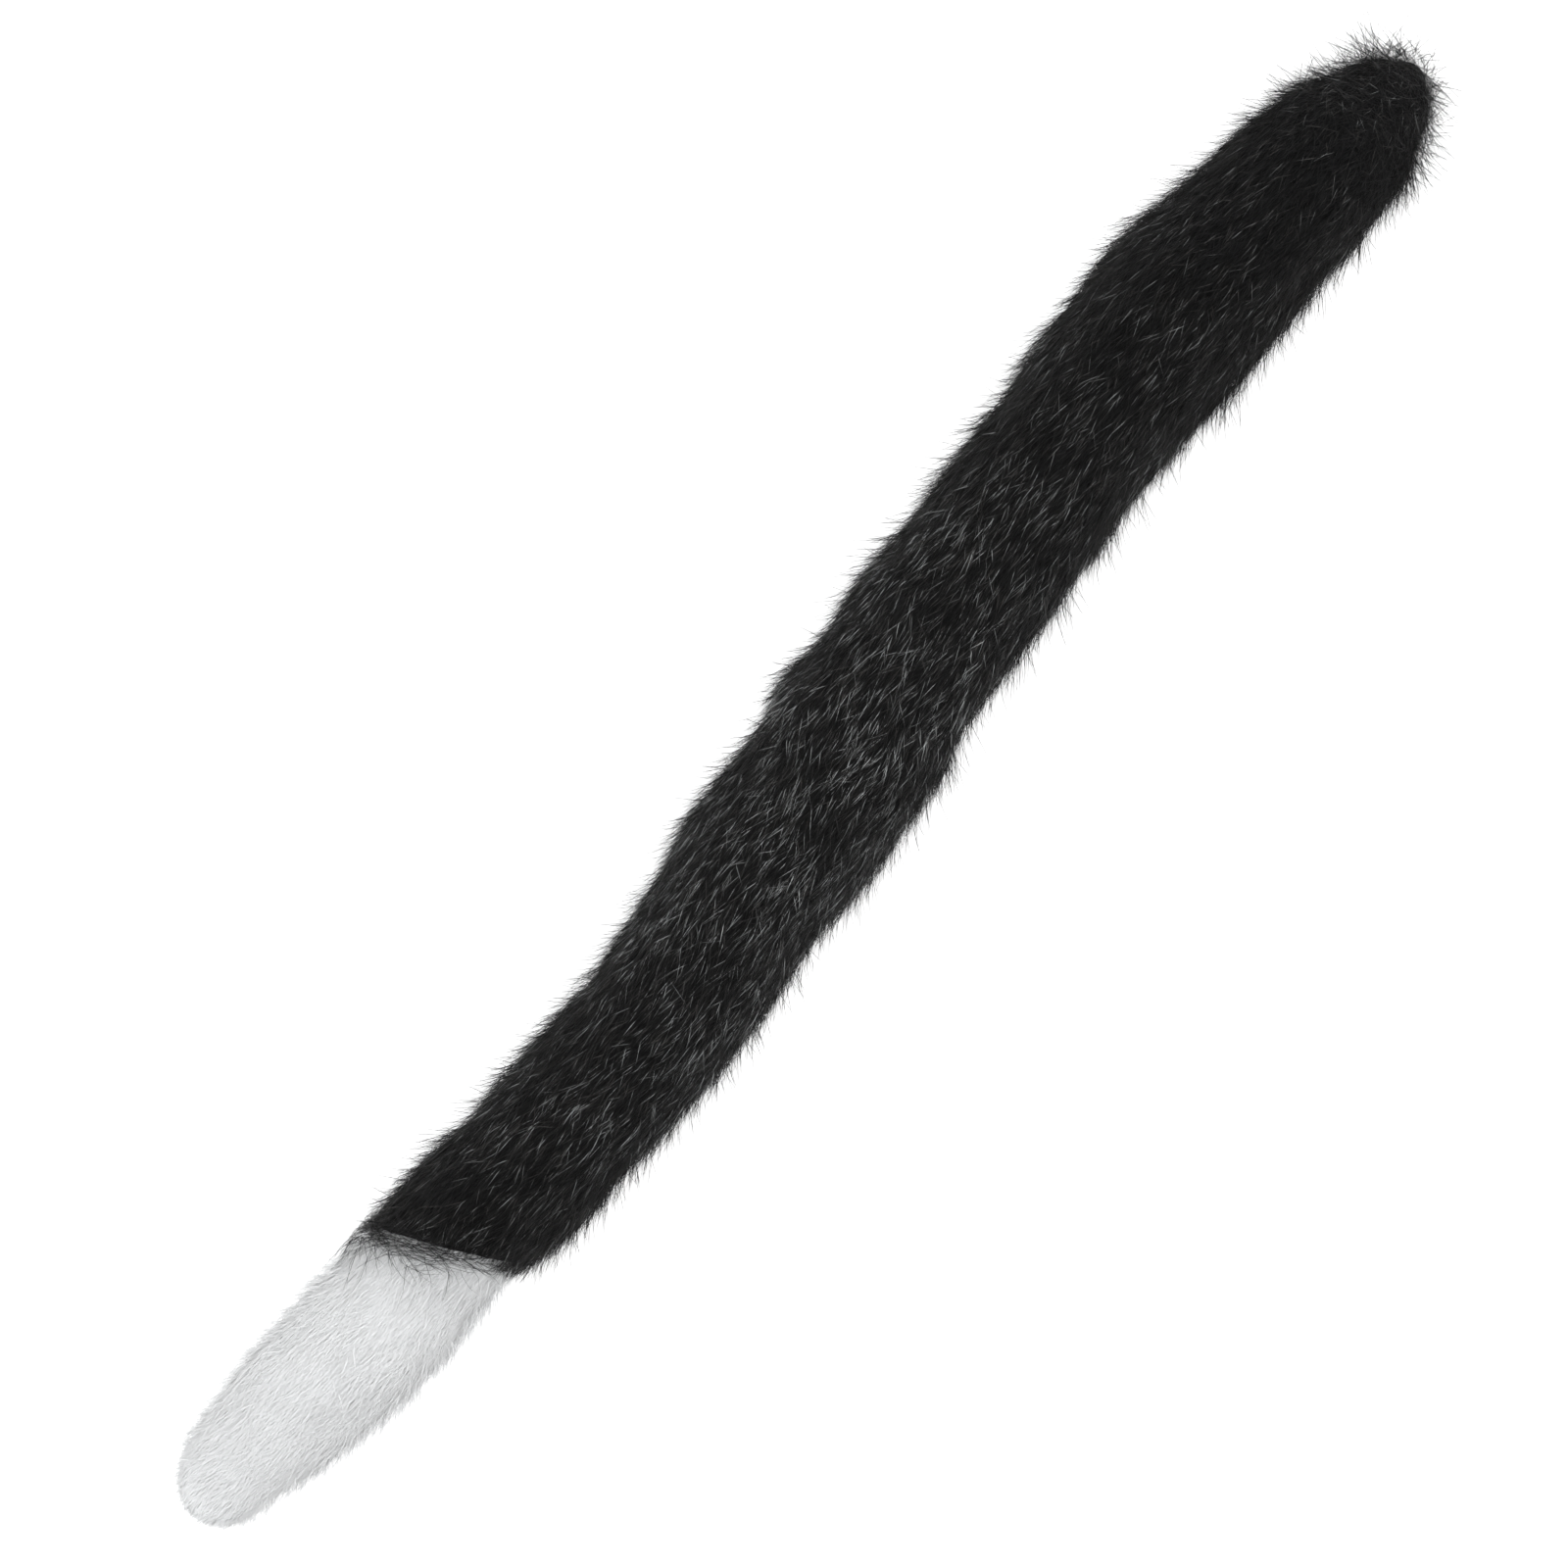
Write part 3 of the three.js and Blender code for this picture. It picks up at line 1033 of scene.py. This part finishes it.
@dataclass
class Groomer:
    """Grows and combs hairs on the skin and makes their meshes."""

    form: TailForm
    skin: Skin
    floor_gap: float = 0.35 * MM
    whorls: tuple[Wave, ...] = tuple(Wave(0.12, 9 * MM, seed) for seed in (31, 33, 35))
    sway_waves: tuple[Wave, ...] = (Wave(0.8, 42 * MM, 3), Wave(0.5, 13 * MM, 5))
    lift_wave: Wave = Wave(0.15, 16 * MM, 9)
    length_wave: Wave = Wave(0.15, 25 * MM, 15)
    tone_waves: tuple[Wave, ...] = (Wave(0.055, 30 * MM, 21), Wave(0.02, 9 * MM, 23))
    tone_shape: tuple[float, float] = (1.5, 1.7)
    # Paler tones halfway along the tail; on the black hair these show as more painted glints.
    halfway_paleness: float = 0.165
    halfway_mean: float = 0.76
    lift_range_deg: tuple[float, float] = (4.0, 78.0)
    tip_lift_deg: float = 34.0
    tip_trim: float = 0.3
    tip_reach: float = 30 * MM
    root_end_reach: float = 45 * MM
    root_end_curl: float = 0.5
    root_end_strays: float = 0.5
    stray_spread: tuple[float, float] = (0.5, 1.5)
    fall_spread: tuple[float, float] = (0.5, 1.1)
    radius_spread: tuple[float, float] = (0.75, 1.2)
    trim_step: float = 0.75
    half_width: float = 48 * MM
    highest: float = 57 * MM
    skyward: float = 1.7
    skew: float = 0.01

    def combed(self, roots: np.ndarray, normals: np.ndarray) -> np.ndarray:
        """The direction in which the coat lies at the roots: towards the tip, along the surface.

        Round the very ends, where no such direction stands out, it turns in soft whorls.

        Args:
            roots: Where the hairs start.
            normals: The surface's normals there.

        Returns:
            A direction for each root.
        """
        comb = self.form.comb(roots[:, 0])
        comb = comb + np.stack([whorl.at(roots) for whorl in self.whorls], axis=1)
        outward = (comb * normals).sum(axis=1, keepdims=True)
        return unit(comb - outward * normals)

    def grow(
        self, roots: np.ndarray, normals: np.ndarray, style: CoatStyle, rng: np.random.Generator
    ) -> Hairs:
        """Combs a set of hairs.

        Args:
            roots: Where they start.
            normals: The surface's normals there.
            style: How they grow.
            rng: The seeded generator.

        Returns:
            The hairs.
        """
        count = len(roots)
        comb = self.combed(roots, normals)
        across = unit(np.cross(normals, comb))
        root_end = self.root_end_share(roots)
        sway = style.sway * sum(wave.at(roots) for wave in self.sway_waves)
        sway = sway + rng.normal(0, style.disorder * (1 + style.ruffle * root_end), count)
        lift = np.radians(style.lift_deg + style.lift_spread_deg * rng.normal(size=count))
        lift = lift * (1 + self.lift_wave.at(roots))
        stray = rng.random(count) < style.stray_share * (1 + self.root_end_strays * root_end)
        stray_lift = np.radians(style.stray_lift_deg * rng.uniform(*self.stray_spread, count))
        lift = np.where(stray, stray_lift, lift)
        tip = self.tip_share(roots)
        lift = lift * (1 - style.root_end_lay * root_end) + math.radians(self.tip_lift_deg) * tip**2
        lift = np.clip(lift, *map(math.radians, self.lift_range_deg))
        starts = comb * np.cos(sway)[:, None] + across * np.sin(sway)[:, None]
        starts = unit(starts * np.cos(lift)[:, None] + normals * np.sin(lift)[:, None])
        fall = style.lay_back * np.sin(lift) * rng.uniform(*self.fall_spread, count)
        curl = rng.normal(0, style.curl + self.root_end_curl * root_end, count)
        fall = fall + rng.normal(0, style.frizz, count)
        bends = -normals * fall[:, None] + across * curl[:, None]
        lengths = rng.uniform(style.shortest, style.longest, count) * (1 + self.length_wave.at(roots))
        lengths = lengths * (1 - self.tip_trim * tip) * (1 - style.root_end_trim * root_end)
        radii = style.radius * rng.uniform(*self.radius_spread, count)
        radii = radii * (1 - style.root_end_thinning * root_end)
        tones = np.clip(self.tones(roots, rng) * style.tone_scale + style.tone_shift, 0.0, PALEST_TONE)
        return self._trimmed(Hairs(roots, normals, lengths, starts, bends, radii, tones))

    def _trimmed(self, hairs: Hairs) -> Hairs:
        """Trims the hairs that would make the tail wider or higher than it may be.

        Args:
            hairs: The hairs, which are changed.

        Returns:
            The same hairs.
        """
        for share in (1.0, 0.75, 0.5) * 3:
            place = hairs.at(share)
            outside = (np.abs(place[:, 1]) > self.half_width) | (place[:, 2] > self.highest)
            hairs.lengths = np.where(outside, self.trim_step * hairs.lengths, hairs.lengths)
        return hairs

    def root_end_share(self, roots: np.ndarray) -> np.ndarray:
        """1 at the rounded root end, fading to 0 over the first part of the tail."""
        end = self.form.stations[-1]
        return np.clip(1 - (end - roots[:, 0]) / self.root_end_reach, 0, 1)

    def tip_share(self, roots: np.ndarray) -> np.ndarray:
        """1 at the tail's tip, fading to 0 over its last part."""
        return np.clip(1 - (roots[:, 0] - self.form.stations[0]) / self.tip_reach, 0, 1)

    def tones(self, roots: np.ndarray, rng: np.random.Generator) -> np.ndarray:
        """A tone from 0 to 1 for each hair, in soft patches, palest halfway along the tail, where the black
        hair gets more painted glints.

        Args:
            roots: Where the hairs start.
            rng: The seeded generator.

        Returns:
            The tones, a few of them a little outside 0 to 1.
        """
        low, high = self.form.stations[0], self.form.stations[-1]
        halfway = np.sin(math.pi * (roots[:, 0] - low) / (high - low))
        patch = sum(wave.at(roots) for wave in self.tone_waves)
        paler = self.halfway_paleness * (halfway**3 - self.halfway_mean)
        return rng.beta(*self.tone_shape, len(roots)) + patch + paler

    def mesh_of(self, name: str, hairs: Hairs, shape: HairShape, softness: float = 0.0) -> bpy.types.Object:
        """Turns hairs into one joined mesh of closed spindles.

        Args:
            name: The piece's name.
            hairs: The hairs.
            shape: The spindle that each hair is made as.
            softness: How far the hairs are shaded with the body's normals, turned a little towards the sky,
                as soft fur is that lets light through.

        Returns:
            The object.
        """
        count, corners = len(hairs.roots), len(shape.along)
        soft_facing = unit(hairs.normals + (0, 0, self.skyward)) * softness
        # A little askew, so that a hair which stands straight up still has a side
        askew = hairs.normals + self.skew
        places = np.empty((count, corners, 3))
        facing = np.empty((count, corners, 3))
        for share in np.unique(shape.along):
            spine = hairs.at(share)
            radius = hairs.radii * (1 - share**3) if share > 0 else 0 * hairs.radii
            spine[:, 2] = np.maximum(spine[:, 2], self.floor_gap + radius)
            slope = hairs.slopes(share)
            side = unit(np.cross(slope, askew))
            up = np.cross(side, slope)
            for corner in np.flatnonzero(shape.along == share):
                turn = shape.around[corner]
                ring = side * math.cos(turn) - up * math.sin(turn)
                places[:, corner] = spine + ring * radius[:, None]
                facing[:, corner] = unit(soft_facing + ring * (1 - softness))
        made = self._joined(name, places, hairs.tones, shape)
        if softness > 0:
            made.data.normals_split_custom_set_from_vertices(facing.reshape(-1, 3).tolist())
        return made

    @staticmethod
    def _joined(name: str, places: np.ndarray, tones: np.ndarray, shape: HairShape) -> bpy.types.Object:
        """Makes one mesh of all spindles, with the map of tone and root to tip, clear of the map's edges.

        Args:
            name: The piece's name.
            places: The corners of each hair's spindle.
            tones: Each hair's tone.
            shape: The spindle.

        Returns:
            The object.
        """
        count, corners, _ = places.shape
        faces = (shape.corners[None] + (np.arange(count) * corners)[:, None, None]).astype(np.int32)
        mesh = bpy.data.meshes.new(name)
        mesh.vertices.add(count * corners)
        mesh.vertices.foreach_set("co", places.astype(np.float32).ravel())
        mesh.loops.add(faces.size)
        mesh.loops.foreach_set("vertex_index", faces.ravel())
        mesh.polygons.add(faces.size // 3)
        mesh.polygons.foreach_set("loop_start", np.arange(0, faces.size, 3, dtype=np.int32))
        mesh.update(calc_edges=True)
        tone_width, edge = 0.02, 0.01
        spots = np.broadcast_to(shape.corner_map[None], (count, *shape.corner_map.shape)).copy()
        spots[..., 0] = tones[:, None, None] + tone_width * spots[..., 0]
        spots[..., 1] = edge + (1 - 2 * edge) * spots[..., 1]
        layer = mesh.uv_layers.new(name=HAIR_MAP)
        layer.uv.foreach_set("vector", spots.astype(np.float32).ravel())
        return new_object(name, mesh)


@dataclass(frozen=True)
class SeamStyle:
    """How the black hairs lie that cross the seam: most along it, and some down over the white tip."""

    count: int = 480
    seed: int = 103
    reach: float = 7.0 * MM
    shortest: float = 8 * MM
    longest: float = 20 * MM
    thinnest: float = 0.055 * MM
    thickest: float = 0.095 * MM
    turn_spread_deg: float = 13.0
    down_turn_deg: float = 46.0
    down_share: float = 0.05
    down_share_at_edge: float = 0.34
    curl: float = 0.42
    palest: float = 0.55
    left_from: float = 12 * MM
    left_fade: float = 16 * MM
    lowest_slope: float = -0.7
    edge_from: float = 16 * MM
    edge_to: float = 8 * MM


@dataclass(frozen=True)
class PinNest:
    """The room round the pin where no hairs start, longest on the side from which they would cover it."""

    before: tuple[float, float, float] = (1.5 * MM, 1.5 * MM, 1.5 * MM)
    past: tuple[float, float, float] = (12.0 * MM, 2.5 * MM, 1.5 * MM)

    def clear(self, points: np.ndarray) -> np.ndarray:
        """Whether points are outside the nest.

        Args:
            points: The points.

        Returns:
            True for each that is outside.
        """
        low, high = (np.array(corner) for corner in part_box("safety_pin"))
        inside = (points > low - self.before) & (points < high + self.past)
        return ~inside.all(axis=1)


@dataclass
class Coat:
    """The whole fur coat: the combed hairs of both colours, the seam's crossing hairs and the loose hairs."""

    form: TailForm
    groomer: Groomer
    black_count: int = 92000
    white_count: int = 27000
    loose_count: int = 16200
    fuzz_count: int = 4000
    seam_overlap: float = 1.5 * MM
    corner_overlap: float = 6.0 * MM
    corner_from: float = 9 * MM
    corner_to: float = 22 * MM
    least_advance: float = 0.05
    least_dulling: float = 0.1
    white_softness: float = 0.97
    fuzz_softness: float = 0.8
    root_end_crowding: float = 1.3
    dull_reach: float = 24 * MM
    dullest: float = 1.0
    shortest_at_seam: float = 2.0 * MM
    root_overlap: float = 0.4 * MM
    underside_slope: float = -0.75
    underside_share: float = 0.45
    flank_fade: float = 1.6
    barest_top: float = 0.97
    black_bareness: float = 0.85
    # How much paler the white hairs on the flanks are made: painted light against the shade that falls there.
    flank_painted_light: float = 0.5
    seam: SeamStyle = SeamStyle()
    nest: PinNest = PinNest()
    black: CoatStyle = CoatStyle(
        shortest=9 * MM,
        longest=17 * MM,
        radius=0.066 * MM,
        lift_deg=17.0,
        lift_spread_deg=9.0,
        sway=0.08,
        lay_back=0.7,
        disorder=0.3,
        stray_share=0.12,
        stray_lift_deg=36.0,
    )
    white: CoatStyle = CoatStyle(
        shortest=6 * MM,
        longest=12 * MM,
        radius=0.11 * MM,
        lift_deg=10.0,
        lift_spread_deg=4.0,
        sway=0.05,
        lay_back=0.8,
        disorder=0.2,
        tone_scale=0.45,
        tone_shift=0.4,
        stray_share=0.09,
        stray_lift_deg=28.0,
    )
    fuzz: CoatStyle = CoatStyle(
        shortest=7 * MM,
        longest=13 * MM,
        radius=0.15 * MM,
        lift_deg=42.0,
        lift_spread_deg=12.0,
        sway=0.1,
        lay_back=0.5,
        disorder=0.45,
        tone_scale=0.45,
        curl=0.12,
    )
    loose: CoatStyle = CoatStyle(
        shortest=10 * MM,
        longest=19 * MM,
        radius=0.092 * MM,
        lift_deg=25.0,
        lift_spread_deg=15.0,
        sway=0.1,
        lay_back=0.6,
        disorder=0.5,
        tone_scale=0.62,
        root_end_trim=-0.05,
        root_end_thinning=0.0,
        curl=0.25,
        frizz=0.25,
        ruffle=2.5,
        root_end_lay=-0.3,
    )

    def _density(self, side: Side, edge_only: float) -> Density:
        """How thickly hairs of one colour stand, thinner on the pressed underside and none in the pin's nest.

        Args:
            side: Their colour.
            edge_only: How far they keep to the flanks and the root end, from 0 to 1.

        Returns:
            The density, from places and normals.
        """
        bareness = 1.0 if side is Side.WHITE else self.black_bareness

        def density(place: np.ndarray, normal: np.ndarray) -> np.ndarray:
            """The density at places with these normals.

            Args:
                place: The places.
                normal: The surface's normals there.

            Returns:
                A density for each.
            """
            past = self.form.past_seam(place) * side.value
            thin = np.where(normal[:, 2] < self.underside_slope, self.underside_share, 1.0)
            thin = thin * (1 + edge_only * self.root_end_crowding * self.groomer.root_end_share(place))
            on_top = np.clip(self.flank_fade * normal[:, 2], 0, self.barest_top) * bareness
            thin = thin * (1 - edge_only * on_top)
            return thin * (past < self.root_overlap) * self.nest.clear(place)

        return density

    def coloured(self, side: Side, count: int, style: CoatStyle, seed: int, edge_only: float = 0.0) -> Hairs:
        """Grows hairs of one colour, which may keep to the flanks and the root end.

        Args:
            side: Their colour.
            count: How many.
            style: How they grow.
            seed: The seed of their random draws.
            edge_only: How far they keep to the flanks and the root end, from 0 to 1.

        Returns:
            The hairs, from the root end to the tip.
        """
        rng = np.random.default_rng(seed)
        roots, normals = self.groomer.skin.scatter(count, self._density(side, edge_only), rng)
        order = np.argsort(-roots[:, 0])
        hairs = self.groomer.grow(roots[order], normals[order], style, rng)
        if side is Side.BLACK:
            self._end_at_seam(hairs, rng)
        else:
            self._dull_near_seam(hairs, rng)
            # Painted light: white hairs facing sideways get paler tones, to even out the shade on the flanks.
            flank = np.clip(1 - hairs.normals[:, 2], 0, 1)
            hairs.tones = np.clip(hairs.tones + self.flank_painted_light * flank, 0, PALEST_TONE)
        return hairs

    def _dull_near_seam(self, hairs: Hairs, rng: np.random.Generator) -> None:
        """Greys the white hairs that start close to the seam.

        Args:
            hairs: The white hairs, which are changed.
            rng: The seeded generator.
        """
        nearness = np.clip(1 - self.form.past_seam(hairs.roots) / self.dull_reach, 0, 1)
        dulling = nearness * rng.uniform(self.least_dulling, self.dullest, len(nearness))
        hairs.tones = np.clip(hairs.tones - dulling, 0, 1)

    def _end_at_seam(self, hairs: Hairs, rng: np.random.Generator) -> None:
        """Shortens the black hairs that would lie over the white tip.

        Args:
            hairs: The black hairs, which are changed.
            rng: The seeded generator.
        """
        before = np.maximum(-self.form.past_seam(hairs.roots), 0)
        advance = -(hairs.at(1.0) - hairs.roots) @ self.form.seam_normal / hairs.lengths
        corner = self.form.to_right(hairs.roots, self.corner_from, self.corner_to) * self.corner_overlap
        room = before + corner + rng.exponential(self.seam_overlap, len(before))
        least = self.least_advance
        reach = np.where(advance > least, room / np.maximum(advance, least), hairs.lengths)
        hairs.lengths = np.clip(np.minimum(hairs.lengths, reach), self.shortest_at_seam, None)

    def build(self) -> None:
        """Builds every piece of the coat."""
        short, long = HairShape.with_cuts(0.42), HairShape.with_cuts(0.3, 0.65)
        dyes = {
            Side.BLACK: ("black_fur", BLACK_HAIR.material()),
            Side.WHITE: ("white_fur", WHITE_HAIR.material()),
        }

        def add(name: str, side: Side, hairs: Hairs, shape: HairShape, softness: float = 0.0) -> None:
            """Makes one piece of hairs and dyes it."""
            finished(self.groomer.mesh_of(name, hairs, shape, softness), *dyes[side])

        hairs = self.coloured(Side.BLACK, self.black_count, self.black, seed=101, edge_only=0.25)
        names = ("black_fur_root_end", "black_fur_upper", "black_fur_middle", "black_fur_lower")
        for name, part in zip(names, np.array_split(np.arange(self.black_count), len(names))):
            add(name, Side.BLACK, hairs.only(part), short)
        hairs = self.coloured(Side.WHITE, self.white_count, self.white, seed=102)
        add("white_fur_coat", Side.WHITE, hairs, short, self.white_softness)
        add("seam_hairs", Side.BLACK, self.seam_hairs(), long)
        hairs = self.coloured(Side.WHITE, self.fuzz_count, self.fuzz, seed=105, edge_only=1.0)
        add("white_fuzz", Side.WHITE, hairs, short, self.fuzz_softness)
        hairs = self.coloured(Side.BLACK, self.loose_count, self.loose, seed=104, edge_only=1.0)
        add("loose_hairs", Side.BLACK, hairs, long)

    def seam_hairs(self) -> Hairs:
        """Fine black hairs that start at the seam and lie across it, mostly along the seam line.

        Returns:
            The hairs.
        """
        seam = self.seam
        rng = np.random.default_rng(seam.seed)

        def density(place: np.ndarray, normal: np.ndarray) -> np.ndarray:
            """Thickest on the upper left of the picture, and none on the far corner of the seam.

            Args:
                place: The places.
                normal: The surface's normals there.

            Returns:
                A density for each.
            """
            from_middle = place[:, 1] - self.form.centre(place[:, 0])[:, 1]
            upper_left = np.clip((from_middle + seam.left_from) / seam.left_fade, 0.0, 1)
            past = self.form.past_seam(place)
            near = np.clip(1 - past / seam.reach, 0, 1) * (past > 0)
            return near * upper_left * (normal[:, 2] > seam.lowest_slope)

        roots, normals = self.groomer.skin.scatter(seam.count, density, rng)
        comb = self.groomer.combed(roots, normals)
        along_seam = unit(np.cross(self.form.seam_normal, normals))
        at_edge = 1 - self.form.to_right(roots, -seam.edge_from, -seam.edge_to)
        down = rng.random(len(roots)) < seam.down_share + seam.down_share_at_edge * at_edge
        turn = np.radians(rng.normal(0, seam.turn_spread_deg, len(roots)) + seam.down_turn_deg * down)
        way = np.where(rng.random(len(roots)) < 0.5, 1.0, -1.0)
        starts = unit(along_seam * (np.cos(turn) * way)[:, None] + comb * np.sin(turn)[:, None])
        lengths = rng.uniform(seam.shortest, seam.longest, len(roots))
        radii = rng.uniform(seam.thinnest, seam.thickest, len(roots))
        curl = unit(np.cross(normals, starts)) * rng.normal(0, seam.curl, len(roots))[:, None]
        tones = rng.uniform(0, seam.palest, len(roots))
        return HuggingHairs(roots, normals, lengths, starts, curl, radii, tones, skin=self.groomer.skin)


@dataclass
class Studio:
    """The pale floor, the soft light and the camera straight above the tail.

    The photo is a square of photo_size pixels. The tail's root end and tip lie at the named pixels.
    """

    form: TailForm
    photo_size: float = 1600.0
    root_end_pixel: tuple[float, float] = (1452.0, 62.0)
    tip_pixel: tuple[float, float] = (185.0, 1540.0)
    camera_height: float = 2.4
    sensor: float = 36.0
    floor_reach: float = 4.0
    floor_glow: float = 0.42

    def camera(self) -> None:
        """Places the camera so that the tail falls on the same pixels as in the photo."""
        low, high = CAD_BOX
        root, tip = np.array(self.root_end_pixel), np.array(self.tip_pixel)
        run = (root - tip) * (1, -1)
        span = float(np.linalg.norm(run))
        cosine, sine = run / span
        right = Vector((cosine, -sine, 0))
        up = Vector((sine, cosine, 0))
        per_pixel = (high.x - low.x) / span
        middle = (root + tip) / 2 - self.photo_size / 2
        end_y = float(self.form.centres[-1, 1])
        target = Vector(((low.x + high.x) / 2, end_y, self.form.centres[:, 2].mean()))
        target -= (right * middle[0] - up * middle[1]) * per_pixel
        data = bpy.data.cameras.new("camera")
        data.sensor_width = self.sensor
        data.lens = self.sensor * self.camera_height / (self.photo_size * per_pixel)
        data.clip_end = 20.0
        made = bpy.data.objects.new("camera", data)
        bpy.context.scene.collection.objects.link(made)
        turn = Matrix((right, up, Vector((0, 0, 1)))).transposed()
        made.matrix_world = Matrix.Translation(target + Vector((0, 0, self.camera_height))) @ turn.to_4x4()
        bpy.context.scene.camera = made

    def floor(self) -> None:
        """Lays a plain pale floor under the tail."""
        shape = bmesh.new()
        bmesh.ops.create_grid(shape, x_segments=2, y_segments=2, size=self.floor_reach)
        mesh = bpy.data.meshes.new("floor")
        shape.to_mesh(mesh)
        shape.free()
        made = new_object("floor", mesh)
        shader = Shader("pale_floor", roughness=0.9, specular=0.1)
        shader.surface.inputs["Base Color"].default_value = (0.92, 0.92, 0.92, 1.0)
        shader.surface.inputs["Emission Color"].default_value = (1.0, 1.0, 1.0, 1.0)
        shader.surface.inputs["Emission Strength"].default_value = self.floor_glow
        mesh.materials.append(shader.material)

    def lights(self) -> None:
        """Soft light from above and from the upper left of the picture, and a pale surrounding."""
        self._area("key_light", (-0.5, 1.1, 1.5), size=1.0, power=7.0)
        self._area("top_light", (0.4, -0.3, 2.1), size=1.8, power=11.5)
        world = bpy.data.worlds.new("pale_room")
        world.use_nodes = True
        background = world.node_tree.nodes["Background"]
        background.inputs["Color"].default_value = (1.0, 1.0, 1.0, 1.0)
        background.inputs["Strength"].default_value = 1.1
        bpy.context.scene.world = world
        bpy.context.scene.view_settings.view_transform = "Standard"

    @staticmethod
    def _area(name: str, place: tuple[float, float, float], size: float, power: float) -> None:
        """Hangs one square light that points at the tail.

        Args:
            name: The light's name.
            place: Where it hangs.
            size: The length of its sides.
            power: Its power in watts.
        """
        data = bpy.data.lights.new(name, "AREA")
        data.size = size
        data.energy = power
        made = bpy.data.objects.new(name, data)
        made.location = place
        made.rotation_mode = "QUATERNION"
        made.rotation_quaternion = Vector(place).to_track_quat("Z", "Y")
        bpy.context.scene.collection.objects.link(made)


@dataclass
class PinStitches:
    """The thread loops that tie the pin's fixed arm to the underside."""

    count: int = 5
    thread: float = 0.22 * MM
    wire: float = 1.2 * MM
    rise: float = 1.7
    turn_deg: float = 14.0
    spread: tuple[float, float] = (0.32, 0.72)

    def build(self) -> None:
        """Winds the loops round the arm nearer to -Y."""
        low, high = (Vector(corner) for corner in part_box("safety_pin"))
        arm_y = low.y + self.wire
        arm_z = (low.z + high.z) / 2
        loops = bmesh.new()
        for index in range(self.count):
            share = self.spread[0] + (self.spread[1] - self.spread[0]) * index / (self.count - 1)
            turn = math.radians(self.turn_deg * (1 if index % 2 else -1))
            place = Vector((low.x + (high.x - low.x) * share, arm_y, arm_z))
            self._loop(loops, Matrix.Translation(place) @ Matrix.Rotation(turn, 4, "Z"))
        bmesh.ops.recalc_face_normals(loops, faces=loops.faces)
        mesh = bpy.data.meshes.new("pin_stitches")
        loops.to_mesh(mesh)
        loops.free()
        finished(new_object("pin_stitches", mesh), "black_fur", BLACK_THREAD.material())

    def _loop(self, loops: bmesh.types.BMesh, place: Matrix) -> None:
        """Spins one loop of thread round the X axis, stretches it up into the fur and puts it in place.

        Args:
            loops: The mesh that the loop is added to.
            place: Where it goes.
        """
        reach = self.wire / 2 + self.thread
        section = bmesh.ops.create_circle(loops, segments=8, radius=self.thread)["verts"]
        bmesh.ops.rotate(loops, verts=section, cent=(0, 0, 0), matrix=Matrix.Rotation(math.pi / 2, 3, "X"))
        bmesh.ops.translate(loops, verts=section, vec=(0, 0, -reach))
        edges = list({edge for vertex in section for edge in vertex.link_edges})
        bmesh.ops.spin(
            loops,
            geom=[*section, *edges],
            cent=(0, 0, 0),
            axis=(1, 0, 0),
            angle=2 * math.pi,
            steps=20,
            use_merge=True,
        )
        ring = [vertex for vertex in loops.verts if not vertex.tag]
        for vertex in ring:
            stretch = self.rise if vertex.co.z > 0 else 1.0
            vertex.co = place @ Vector((vertex.co.x, vertex.co.y, vertex.co.z * stretch))
            vertex.tag = True


def dress_solids() -> None:
    """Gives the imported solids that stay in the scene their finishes."""
    for node, finish in (("stuffing", LOOSE_FILL), ("safety_pin", SteelFinish())):
        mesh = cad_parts[node].data
        mesh.materials.clear()
        mesh.materials.append(finish.material())


def main() -> None:
    """Builds the tail's pieces in order and sets the studio."""
    logging.basicConfig(level=logging.INFO, format="%(message)s")
    form = TailForm()
    undercoat = Undercoat(form)
    whole = undercoat.whole()
    for side, name, node, slot, finish in (
        (Side.BLACK, "black_undercoat", "black_fur_sleeve", "black_fur", BLACK_UNDERCOAT),
        (Side.WHITE, "white_undercoat", "white_fur_tip", "white_fur", WHITE_UNDERCOAT),
    ):
        piece = finished(undercoat.half(whole, side, name), slot, finish.material())
        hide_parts(node)
    Coat(form, Groomer(form, Skin(whole))).build()
    PinStitches().build()
    dress_solids()
    shown = [item for item in bpy.data.objects if item.type == "MESH" and not item.hide_render]
    log.info("%d triangles in all", sum(count_triangles(item.data) for item in shown))
    studio = Studio(form)
    studio.camera()
    studio.floor()
    studio.lights()


if __name__ == "__main__":
    main()
